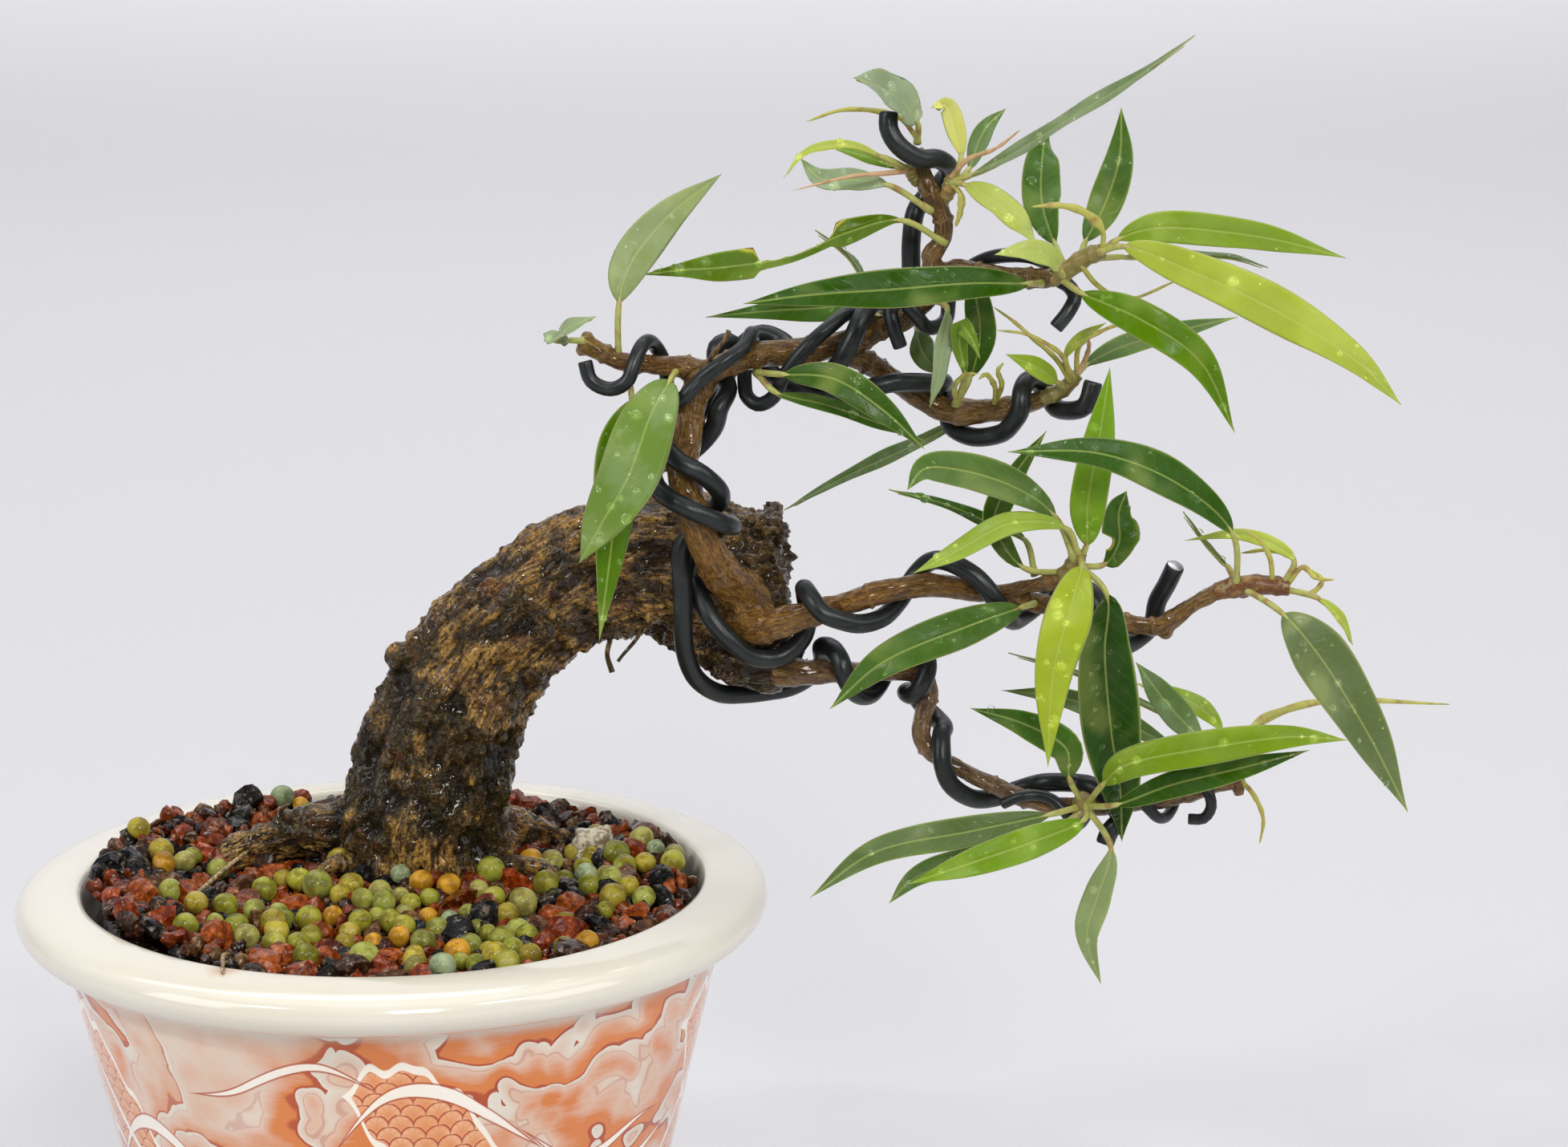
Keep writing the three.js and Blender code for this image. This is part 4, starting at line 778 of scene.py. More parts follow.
# Painted shadow in the grooves between the old bark's raised fibres.
FIBRE_GAP_PAINTED_SHADOW = (60, 42, 22)
GOLD_FLAKE = (204, 158, 80)
RUST = (112, 58, 30)
MOSS = (60, 50, 24)
MOSS_GREEN = (100, 96, 50)
CRUMB_DARK = (38, 29, 15)
CRUMB_LIGHT = (214, 178, 108)
# Near-black painted shade for the bark's cracks and hollows.
HOLLOW_PAINTED_SHADE = (27, 19, 9)
NEAR_CUT = (46, 30, 14)
CUT_DARK = (34, 24, 10)
CUT_LIGHT = (88, 68, 42)
# Painted shadow in the grooves between the young wood's raised fibres.
TWIG_FIBRE_GAP_PAINTED_SHADOW = (58, 35, 14)
TWIG_OCHRE = (170, 128, 60)
LENTICEL = (176, 142, 96)
TWIG_RING = (152, 116, 74)
ROOTS = [
    [(-2, 12, 88, 7), (-12, 11, 88.6, 4.6), (-20, 10, 87.6, 3.2), (-27, 9, 85.4, 2.4), (-33, 8, 82, 1.5)],
    [(10, 15, 87, 6.5), (19, 21, 85.2, 4), (26, 26, 82, 2.4)],
    [(2, 20, 87, 6.5), (0, 30, 84.4, 4), (-4, 37, 80.5, 2.2)],
    [
        (47.8, 0.6, 124.6, 4), (52.3, -1, 122.6, 4.2), (55.9, -3.3, 121, 4.6), (60, -3.8, 120.8, 4.6),
        (64, -2, 122.6, 3.6)]]
LEADER = [
    (58, -3, 130, 4.4), (53.6, -9, 135.5, 3.2), (51.1, -13, 140.5, 2.9), (49.3, -14.5, 145, 2.7),
    (48, -14, 149, 2.6), (47, -12, 153, 2.5), (47.5, -10, 156, 2.3), (48, -8, 159.5, 2.2),
    (48.5, -6, 163, 2.2), (50.5, -5, 167, 2.2)]
LEFT_TWIG = [
    (51, -5, 167.2, 2.1), (47, -4.2, 168, 1.7), (40.5, -4, 168.5, 1.45), (37, -4, 169, 1.35),
    (34, -4, 170.5, 1.5), (31, -4, 172, 1.75)]
RIGHT = [
    (49.5, -5, 166.5, 2.2), (53.5, -5, 168.5, 2), (58.5, -4.5, 170, 2.1), (65.5, -4, 170.5, 2.1),
    (73, -3.5, 172, 2), (78, -3, 174, 1.9), (81.5, -3, 175.5, 1.8), (84, -3, 178, 1.7),
    (86, -3, 181.5, 1.5)]
APEX = [
    (84, -3, 177, 1.6), (85, -3, 182, 1.3), (85.5, -3, 185.5, 1.3), (87, -3, 188, 1.5),
    (87, -3, 190.5, 1.5), (86, -3, 193, 1.6), (84.5, -3, 196, 1.6), (83.5, -2, 199, 1.3),
    (83, -2, 201.5, 1.1)]
RIGHT_TWIG = [
    (85, -3, 182, 1.3), (89, -4, 183.5, 1.3), (93.5, -6, 183, 1.4), (98.5, -8, 182.5, 1.6),
    (102, -9, 182.5, 1.6), (104, -9.7, 183, 1.4)]
SIDE = [
    (70.5, -3, 171, 1.9), (75, -1, 168.5, 1.8), (78.5, 1, 166, 1.8), (82.5, 2, 163, 1.8), (87, 2, 160.5, 2),
    (91, 1, 160, 2), (95.5, 0, 160.5, 1.9), (100, -1, 161.5, 1.5), (103.5, -2, 163, 1.3)]
MIDDLE = [
    (56, -5, 127.5, 3.2), (60, -10, 128.5, 2.9), (65.5, -13, 130.5, 2.1), (71.5, -14, 132.5, 1.8),
    (77.5, -14, 134.5, 1.9), (85, -13, 135.5, 1.9), (91, -12, 134.5, 1.8), (96.5, -11, 133.5, 1.5),
    (101.5, -10, 132, 1.6), (108, -9, 130.5, 1.6), (115.5, -9, 128.5, 1.5), (120.5, -9, 128, 1.5),
    (123.5, -9.5, 129.5, 1.5), (126.5, -10, 132, 1.3), (130, -11, 134, 1.4)]
MIDDLE_TWIG = [
    (94.5, -11.5, 133.5, 1.1), (98, -12, 134.5, 1.1), (102.5, -12.5, 135.5, 1.2), (105, -12.8, 136.5, 1.2)]
LOWER = [
    (57.5, 0.5, 123, 3.6), (61, -5.5, 120.4, 2.8), (65.5, -7, 120, 2.2), (70, -6, 120, 1.9),
    (74.5, -5, 119.5, 1.7), (79.5, -4, 119.5, 1.6), (83, -3, 119, 1.6), (85, -3, 117.5, 1.6),
    (85.5, -3, 115.5, 1.5), (84.5, -3.5, 111.5, 1.6), (84.5, -4, 108.5, 1.5), (87, -4.5, 105.5, 1.4),
    (90, -5, 104, 1.3), (95.5, -6, 101.5, 1.4), (100.5, -7, 99.5, 1.4), (105.5, -8, 98.5, 1.4),
    (111, -8, 98.5, 1.5), (117.5, -7, 98.5, 1.3), (124, -6, 99, 1.2), (129.5, -5, 100.5, 1.1),
    (134, -4.2, 101.2, 1.1)]
KNOBS = [
    (1.6, 5.5, 119, 2.6), (4.4, 5, 122.4, 2.2), (59.6, 3, 141, 1.9), (58.5, -6.3, 169.4, 1.5),
    (133.5, -10.5, 134.6, 1.5), (122, -9.2, 127, 1.3), (61.8, 3.5, 140.4, 1.7), (0.6, 7, 116.6, 1.9)]
ROOTLETS = [
    [(34.5, 4, 128, 0.55), (34.9, 3.5, 123, 0.45), (34.4, 3, 120.4, 0.4), (35.2, 2.6, 117.6, 0.5)],
    [(41, 3, 127, 0.45), (39.4, 2, 123.6, 0.35), (36.8, 1, 120.6, 0.28), (36.2, 0.8, 119.8, 0.3)],
    [(50.6, -8.2, 168.6, 0.5), (52, -9.2, 171.2, 0.35), (53.4, -9.6, 173, 0.3), (54.2, -9.6, 174.6, 0.4)],
    [(-16, 10, 89.6, 0.9), (-18, 8.6, 91.6, 0.7), (-19.2, 8, 93, 0.45), (-17.8, 7.6, 94.2, 0.25)],
    [(-7, 3, 85.4, 2.2), (-9.6, 0.4, 86.4, 1.5), (-12, -1.2, 85.2, 1.0), (-13.4, -2, 83.4, 0.7)],
    [(16, 4, 84.2, 2.4), (20.4, 2.6, 85.4, 1.7), (24.4, 2.4, 84.6, 1.2), (26.4, 2.6, 82.6, 0.8)],
]
# Two dry root fibres, pale as straw: one leans on the bed, one hangs over the lip's inner edge.
DRY_FIBRES = [
    [
        (-30.6, -15.9, 85.4, 0.34), (-28.5, -7.8, 85.9, 0.38), (-26.4, 2.1, 86, 0.36),
        (-23.8, 9.6, 86.6, 0.28)],
    [
        (-20.8, -39, 84.6, 0.3), (-20.9, -43.5, 85.9, 0.38), (-20.5, -47, 86, 0.36),
        (-20.1, -49.8, 85.3, 0.22)]]
# Each tone list runs from the limb's foot to its tip.
LIMB_TONES = [
    (LEADER, [(150, 104, 42), (138, 98, 42), (122, 92, 50)]),
    (LEFT_TWIG, [(134, 100, 48), (124, 82, 42), (168, 138, 58)]),
    (RIGHT, [(140, 104, 48), (132, 98, 48), (112, 84, 50)]),
    (APEX, [(106, 82, 52), (110, 82, 50), (122, 100, 60)]),
    (RIGHT_TWIG, [(108, 82, 50), (118, 96, 54), (128, 114, 66)]),
    (SIDE, [(122, 92, 50), (132, 100, 50), (140, 116, 64)]),
    (MIDDLE, [(150, 106, 42), (130, 92, 50), (132, 100, 50)]),
    (MIDDLE_TWIG, [(128, 98, 60), (130, 98, 60), (138, 112, 68)]),
    (LOWER, [(108, 78, 48), (138, 116, 98), (126, 98, 56)])]


def frames_along(rows, share, facing):
    """Centre, direction, side and front on the rows' spline, with front turned to the facing."""
    centres = np.asarray(rows, float)[:, :3]
    along = unit(spline_points(centres, share + 1e-4) - spline_points(centres, share - 1e-4))
    side = unit(np.cross(along, facing))
    return spline_points(centres, share), along, side, unit(np.cross(side, along))


def radius_along(rows, share):
    """Radius between the rows, in straight steps."""
    radii = np.asarray(rows, float)[:, 3]
    return np.interp(np.clip(share, 0, 1), np.linspace(0, 1, len(radii)), radii)


def stem(rows, facing, sides, steps, depth=1.0, relief=None, chop=None):
    """Stem: centre + side*sin*radius + front*cos*radius*depth at each angle, closed by a pole at each end."""
    share = np.linspace(0, 1, steps + 1)
    centre, along, side, front = frames_along(rows, share, facing)
    angle = np.arange(sides) * 2 * np.pi / sides
    radius = radius_along(rows, share)[:, None] * np.ones(sides)
    if relief:
        radius = radius * relief(-angle[None], share[:, None])
    points = (centre[:, None] + side[:, None] * (np.sin(angle) * radius)[..., None]
              + front[:, None] * (np.cos(angle) * radius * depth)[..., None])
    if chop:
        points[-1] += along[-1] * chop(-angle)[:, None]
    points = np.vstack([points.reshape(-1, 3), centre[:1], centre[-1:]])
    return {"points": points, "faces": tube_faces(steps + 1, sides)}


def bark_flutes(angle, share):
    """Long flutes and knots round the trunk, with a flare of five ribs at its foot."""
    flutes = 0.035 * np.sin(3 * angle + 9 * share) + 0.03 * np.sin(5 * angle - 21 * share)
    knots = 0.028 * np.sin(2 * angle + 37 * share) + 0.02 * np.sin(7 * angle + 15 * share)
    return 1 + flutes + knots + 0.1 * np.maximum(0, 1 - share / 0.22) * np.cos(5 * angle + 0.6)


def chopped_end(angle):
    """Uneven height of the chopped face round its rim."""
    return 1.3 * np.cos(2 * angle + 0.8) - 1.1 * np.sin(angle) + 0.8 * np.sin(5 * angle)


def step(value, low, high):
    """0 below low and 1 above high, with a smooth ramp between."""
    share = np.clip((value - low) / (high - low), 0, 1)
    return share * share * (3 - 2 * share)


def limb_samples(rows, facing, tones, number, old):
    """Rows along a limb: centre, direction, side, front, radius, run, tone and age."""
    rows = np.asarray(rows, float)
    share = np.linspace(0, 1, int(path_length(rows[:, :3]) / SAMPLE_STEP))
    centre, along, side, front = frames_along(rows, share, facing)
    run = np.concatenate([[0], np.cumsum(np.linalg.norm(np.diff(centre, axis=0), axis=1))])
    stops = np.linspace(0, 1, len(tones))
    colours = np.array([tone(colour)[:3] for colour in tones])
    tint = np.stack([np.interp(share, stops, colours[:, part]) for part in range(3)], axis=1)
    radius = radius_along(rows, share)
    age = np.full(len(share), float(old)) if old else 0.45 * step(radius, 1.8, 3.6) * (1 - share)
    run = (run + LIMB_SHIFT * number)[:, None]
    return np.hstack([centre, along, side, front, radius[:, None], run, tint, age[:, None]])


wood_parts = [stem(TRUNK, VIEWER, TRUNK_SIDES, TRUNK_STEPS, TRUNK_DEPTH, bark_flutes, chopped_end)]
samples = [limb_samples(TRUNK, VIEWER, TRUNK_TONES, 0, 1)]
for number, rows in enumerate(ROOTS):
    wood_parts.append(stem(rows, UPWARDS, LIMB_SIDES, ROOT_STEPS))
    samples.append(limb_samples(rows, UPWARDS, ROOT_TONES, number + 1, 1))
for number, (rows, tones) in enumerate(LIMB_TONES):
    wood_parts.append(stem(rows, VIEWER, LIMB_SIDES, len(rows) * STEPS_PER_ROW))
    samples.append(limb_samples(rows, VIEWER, tones, number + 1 + len(ROOTS), 0))
knob_ball, knob_faces = ball(2)
for x, y, z, radius in KNOBS:
    wood_parts.append({"points": knob_ball * radius + [x, y, z], "faces": [knob_faces]})
raw_wood = add_mesh("raw_wood", wood_parts, [])
joining = raw_wood.modifiers.new("one_body", "REMESH")
joining.mode = "VOXEL"
joining.voxel_size = VOXEL * 0.001
easing = raw_wood.modifiers.new("ease", "SMOOTH")
easing.factor = 0.5
easing.iterations = 3
bpy.context.view_layer.update()
joined = bpy.data.meshes.new_from_object(raw_wood.evaluated_get(bpy.context.evaluated_depsgraph_get()))
bpy.data.objects.remove(raw_wood)


def mesh_arrays(mesh):
    """Points in mm, their normals, and the quads of a mesh."""
    points = np.empty(len(mesh.vertices) * 3, np.float32)
    mesh.vertices.foreach_get("co", points)
    normals = np.empty(len(mesh.vertices) * 3, np.float32)
    mesh.vertex_normals.foreach_get("vector", normals)
    corners = np.empty(len(mesh.loops), np.int32)
    mesh.loops.foreach_get("vertex_index", corners)
    places = points.reshape(-1, 3).astype(float) * 1000
    return places, normals.reshape(-1, 3).astype(float), corners.reshape(-1, 4)


def nearest_sample(points, frames):
    """For each point, the limb sample with the least distance to its centre minus its radius."""
    best = []
    centres = frames[:, COLUMNS["centre"]]
    for batch in np.array_split(points, 1 + len(points) // 6000):
        square = (batch ** 2).sum(1)[:, None] + (centres ** 2).sum(1) - 2 * batch @ centres.T
        best.append(np.argmin(np.sqrt(np.maximum(square, 0)) - frames[:, COLUMNS["radius"]], axis=1))
    return frames[np.concatenate(best)]


def bark_relief(grain, age, cut):
    """Height of the bark in mm: scales, cracks, lumps and crumbs on old wood, wrinkles and rings on young."""
    bent = grain + 0.9 * np.stack([
        lattice_noise(grain / [4, 4, 5], BARK_SEED + 130 + axis) for axis in range(3)], axis=1)
    lumps_wide = lattice_noise(bent / [4.6, 4.6, 6.5], BARK_SEED + 110)
    scales = fractal_noise(bent / [2.6, 2.6, 4.4], 2, BARK_SEED) * 2.2
    terrace = np.floor(scales) + step(scales - np.floor(scales), 0.7, 1.0)
    cracks = 1 - step(np.abs(lattice_noise(bent / [1.9, 1.9, 6.0], BARK_SEED + 20)), 0.0, 0.2)
    crumbs = fractal_noise(grain / [1.3, 1.3, 1.5], 3, BARK_SEED + 60)
    old = 0.5 * lumps_wide + 0.36 * terrace - 0.55 * cracks + 0.4 * crumbs
    old = old * (1 - 0.6 * cut) + cut * (0.9 * crumbs + 0.5 * lumps_wide)
    fine = fractal_noise(grain / [1.1, 1.1, 2.0], 2, BARK_SEED + 80)
    rings = 0.34 * (1 - step(np.abs(lattice_noise(grain / [90, 90, 4.2], BARK_SEED + 90)), 0, 0.2))
    return age * old + (1 - age) * (0.2 * fine + rings)


points, normals, quads = mesh_arrays(joined)
near = nearest_sample(points, np.vstack(samples))
offset = points - near[:, COLUMNS["centre"]]
grain = np.stack([(offset * near[:, COLUMNS[way]]).sum(1) for way in ("side", "front", "along")], axis=1)
grain[:, 2] += near[:, COLUMNS["run"]]
age = near[:, COLUMNS["age"]]
cut = step(points[:, 0], 57, 63) * step(age, 0.5, 0.9)
height = bark_relief(grain, age, cut)
below_ground = 1 - step(points[:, 2], 76, 82)
points = points + normals * (height * (1 - below_ground))[:, None]


def small_stem(rows, colour, age):
    """A thin stem with the marks that the bark's material reads."""
    made = stem(rows, VIEWER if rows[0][2] > 100 else UPWARDS, 8, 12)
    count = len(made["points"])
    made["marks"] = {
        "grain": made["points"] * [0.6, 0.6, 0.3], "tint": np.tile(tone(colour)[:3], (count, 1)),
        "age": np.full(count, age), "cut": np.zeros(count), "height": np.zeros(count)}
    return made


# Fine streaks along the grain, for bark, twigs and cut wood.
streaks, source, result = group(
    "grain streaks", {"Grain": None, "Across": 1.1, "Along": 7.0, "Low": 0.45, "High": 0.62},
    {"Mask": "NodeSocketFloat"})
parts = xyz(source.outputs["Grain"])
squeezed = joined_xyz(*[
    calc("DIVIDE", part, source.outputs[key]) for part, key in zip(parts, ("Across", "Across", "Along"))])
streak = soft_step(noise(squeezed, 1.0, 5.0, 0.62), source.outputs["Low"], source.outputs["High"])
feed(result, Mask=streak)

bark, tree, shader = finish("fig bark", IOR=1.45, Specular_IOR_Level=0.2, Coat_Roughness=0.07, Coat_IOR=1.4)
place = object_place(tree)
grain_mark = point_mark(tree, "grain", "Vector")
tint = point_mark(tree, "tint", "Color")
age_mark = point_mark(tree, "age", "Fac")
cut_mark = point_mark(tree, "cut", "Fac")
relief_mark = point_mark(tree, "height", "Fac")
old = soft_step(age_mark, 0.3, 0.8)
young = minus(1.0, old)
across_tree, _, height_up = xyz(place)
ochre = placed(tree, streaks, Grain=grain_mark, Across=0.6, Along=5.2, Low=0.43, High=0.58).outputs[0]
fibre = placed(tree, streaks, Grain=grain_mark, Across=0.4, Along=1.2, Low=0.4, High=0.6).outputs[0]
patch = noise(place, 105.0, 3.0, 0.6)
foot = times(soft_step(height_up, 0.099, 0.087), 0.16)
zone = plus(plus(patch, foot), times(minus(height_up, 0.118), 4.0))
bare = soft_step(zone, 0.46, 0.56)
fleck = soft_step(noise(place, 700.0, 3.0, 0.6), 0.55, 0.62)
gold = calc("MAXIMUM", times(ochre, bare), times(fleck, plus(0.12, times(bare, 0.5))))
rust = soft_step(noise(place, 160.0, 4.0, 0.65), 0.55, 0.62)
moss_zone = soft_step(zone, 0.54, 0.44)
moss_crumb = soft_step(noise(place, 420.0, 4.0, 0.75), 0.4, 0.5)
moss = times(times(moss_zone, moss_crumb), old)
green = times(moss, soft_step(noise(place, 600.0, 3.0), 0.56, 0.66))
crumbly = noise(place, 1700.0, 4.0, 0.7)
# Where the bark's relief sinks it is darkened almost to black: painted shade in its cracks and hollows.
hollow_painted_shade = soft_step(relief_mark, -0.1, -0.8)
near_cut = soft_step(across_tree, 0.044, 0.057)
# Between the raised fibres the wood is darkened: painted shadow in the grooves, on old and young wood alike.
between_fibres = minus(1.0, fibre)
aged = layered(tint, [
    (times(between_fibres, times(old, 0.6)), FIBRE_GAP_PAINTED_SHADOW),
    (times(gold, old), GOLD_FLAKE),
    (times(rust, times(old, 0.6)), RUST),
    (times(moss, 0.9), MOSS),
    (times(green, 0.55), MOSS_GREEN),
    (times(soft_step(crumbly, 0.52, 0.4), times(old, 0.75)), CRUMB_DARK),
    (times(soft_step(crumbly, 0.57, 0.66), times(old, 0.45)), CRUMB_LIGHT),
    (times(hollow_painted_shade, times(old, 0.85)), HOLLOW_PAINTED_SHADE),
    (times(near_cut, times(old, 0.5)), NEAR_CUT)])
cut_grey = mixed(fibre, tone(CUT_DARK), tone(CUT_LIGHT))
lenticels = placed(tree, specks, Place=grain_mark, Per_Metre=0.9, Share=0.3, Size=0.22).outputs[0]
colour = layered(mixed(times(cut_mark, 0.75), aged, cut_grey), [
    (times(between_fibres, times(young, 0.75)), TWIG_FIBRE_GAP_PAINTED_SHADOW),
    (times(ochre, times(young, 0.35)), TWIG_OCHRE),
    (times(lenticels, times(young, 0.5)), LENTICEL),
    (times(soft_step(relief_mark, 0.1, 0.2), times(young, 0.5)), TWIG_RING)])
feed(shader, Base_Color=colour)
wetness = placed(
    tree, damp, Place=place, Per_Metre=540.0, Dry_Roughness=0.5, Wet_Roughness=0.13, Share=0.65)
feed(shader, Roughness=wetness.outputs["Roughness"])
rough_bark = plus(times(fibre, 0.5), noise(place, 1500.0, 4.0, 0.7))
rough_bark = plus(rough_bark, times(moss, times(noise(place, 3200.0, 2.0, 0.6), 1.2)))
bumped(shader, rough_bark, 0.9, 0.0006)
feed(shader, Coat_Weight=times(wetness.outputs["Wet"], 0.62))

wood_marks = {"grain": grain, "tint": near[:, COLUMNS["tint"]], "age": age, "cut": cut, "height": height}
wood_parts = [{"points": points, "faces": [quads], "marks": wood_marks}]
wood_parts += [small_stem(rows, ROOTLET_TONE, 0.6) for rows in ROOTLETS]
wood_parts += [small_stem(rows, DRY_FIBRE_TONE, 0.0) for rows in DRY_FIBRES]
wood = add_mesh("fig_wood", wood_parts, [bark])
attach(wood, "root")
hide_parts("wood")


# Training wires: soft aluminium wire, anodised black, wound by hand round the branches.
# Each end is nipped off with pliers, which bares the bright metal.

THICK_WIRE = 1.5
MEDIUM_WIRE = 1.15
THIN_WIRE = 0.9
WIRE_CLEARANCE = 0.55
WIRE_SIDES = 18
WIRE_STEP = 0.8
ANODISED_BLACK = (34, 38, 38)
WIRE_DUST = (78, 84, 80)
NIP_DULL = (168, 170, 172)
NIP_BRIGHT = (236, 237, 238)
# Steps in from a nipped end and the sizes at the first two, as shares of the radius.
NIP_STEPS = (0.0, 0.12, 0.3)
NIP_SIZES = (0.86, 0.96)


def wound(rows, knots, wire_radius):
    """Points round a limb: centre + front*reach*cos - side*reach*sin, between (row, degrees, lift) knots."""
    points = []
    last = len(rows) - 1
    knots = [(*knot, 0.0)[:3] for knot in knots]
    for (place_a, angle_a, lift_a), (place_b, angle_b, lift_b) in zip(knots, knots[1:]):
        count = max(1, int(abs(angle_b - angle_a) / 40 + 0.5))
        share = np.arange(1 if len(points) else 0, count + 1) / count
        centre, _, side, front = frames_along(rows, (place_a + (place_b - place_a) * share) / last, VIEWER)
        angle = np.radians(angle_a + (angle_b - angle_a) * share)[:, None]
        radius = radius_along(rows, (place_a + (place_b - place_a) * share) / last)
        reach = (radius + WIRE_CLEARANCE + wire_radius + lift_a + (lift_b - lift_a) * share)[:, None]
        points.append(centre + front * reach * np.cos(angle) - side * reach * np.sin(angle))
    return np.vstack(points)


def carried_sides(path):
    """A side vector at each path point that turns as little as the path allows."""
    along = unit(np.gradient(path, axis=0))
    side = unit(np.cross(along[0], (0.31, 0.27, 0.91)))
    sides = [side]
    for direction in along[1:]:
        side = side - direction * (side @ direction)
        side = side / np.linalg.norm(side)
        sides.append(side)
    sides = np.array(sides)
    return along, sides, unit(np.cross(along, sides))


def round_wire(rows, radius):
    """A round section carried along the rows' spline; each end narrows to a nipped, bright face."""
    rows = np.vstack(rows)
    path = even_samples(rows, int(path_length(rows) / WIRE_STEP))
    along, side, up = carried_sides(path)
    nip = np.array(NIP_STEPS) * radius
    path = np.vstack([
        path[:1] + along[0] * nip[:, None], path[1:-1], path[-1:] - along[-1] * nip[::-1, None]])
    pick = np.concatenate([[0, 0, 0], np.arange(1, len(side) - 1), [-1, -1, -1]])
    size = np.full(len(path), radius)
    size[[0, -1]] = radius * NIP_SIZES[0]
    size[[1, -2]] = radius * NIP_SIZES[1]
    angle = np.arange(WIRE_SIDES) * 2 * np.pi / WIRE_SIDES
    ring = side[pick][:, None] * np.cos(angle)[:, None] + up[pick][:, None] * np.sin(angle)[:, None]
    points = path[:, None] + ring * size[:, None, None]
    centres = np.stack([path[0] + side[0] * radius * 0.1, path[-1] + side[-1] * radius * 0.1])
    points = np.vstack([points.reshape(-1, 3), centres])
    return [{"points": points, "finishes": (0, 1, 1), "faces": tube_faces(len(path), WIRE_SIDES)}]


anodised, tree, shader = finish("black anodised wire", Metallic=0.35, IOR=1.5)
place = object_place(tree)
dusty = soft_step(noise(place, 260.0, 4.0), 0.5, 0.75)
worn = noise(place, 1900.0, 3.0)
colour = mixed(times(dusty, 0.3), tone(ANODISED_BLACK), tone(WIRE_DUST))
feed(shader, Base_Color=colour, Roughness=plus(0.25, times(worn, 0.18)))
bumped(shader, worn, 0.25, 0.00008)
nipped, tree, shader = finish("nipped bright aluminium", Metallic=1.0, Roughness=0.32)
scratch = noise(object_place(tree), 2600.0, 2.0)
feed(shader, Base_Color=mixed(scratch, tone(NIP_DULL), tone(NIP_BRIGHT)))
bumped(shader, scratch, 0.6, 0.0001)

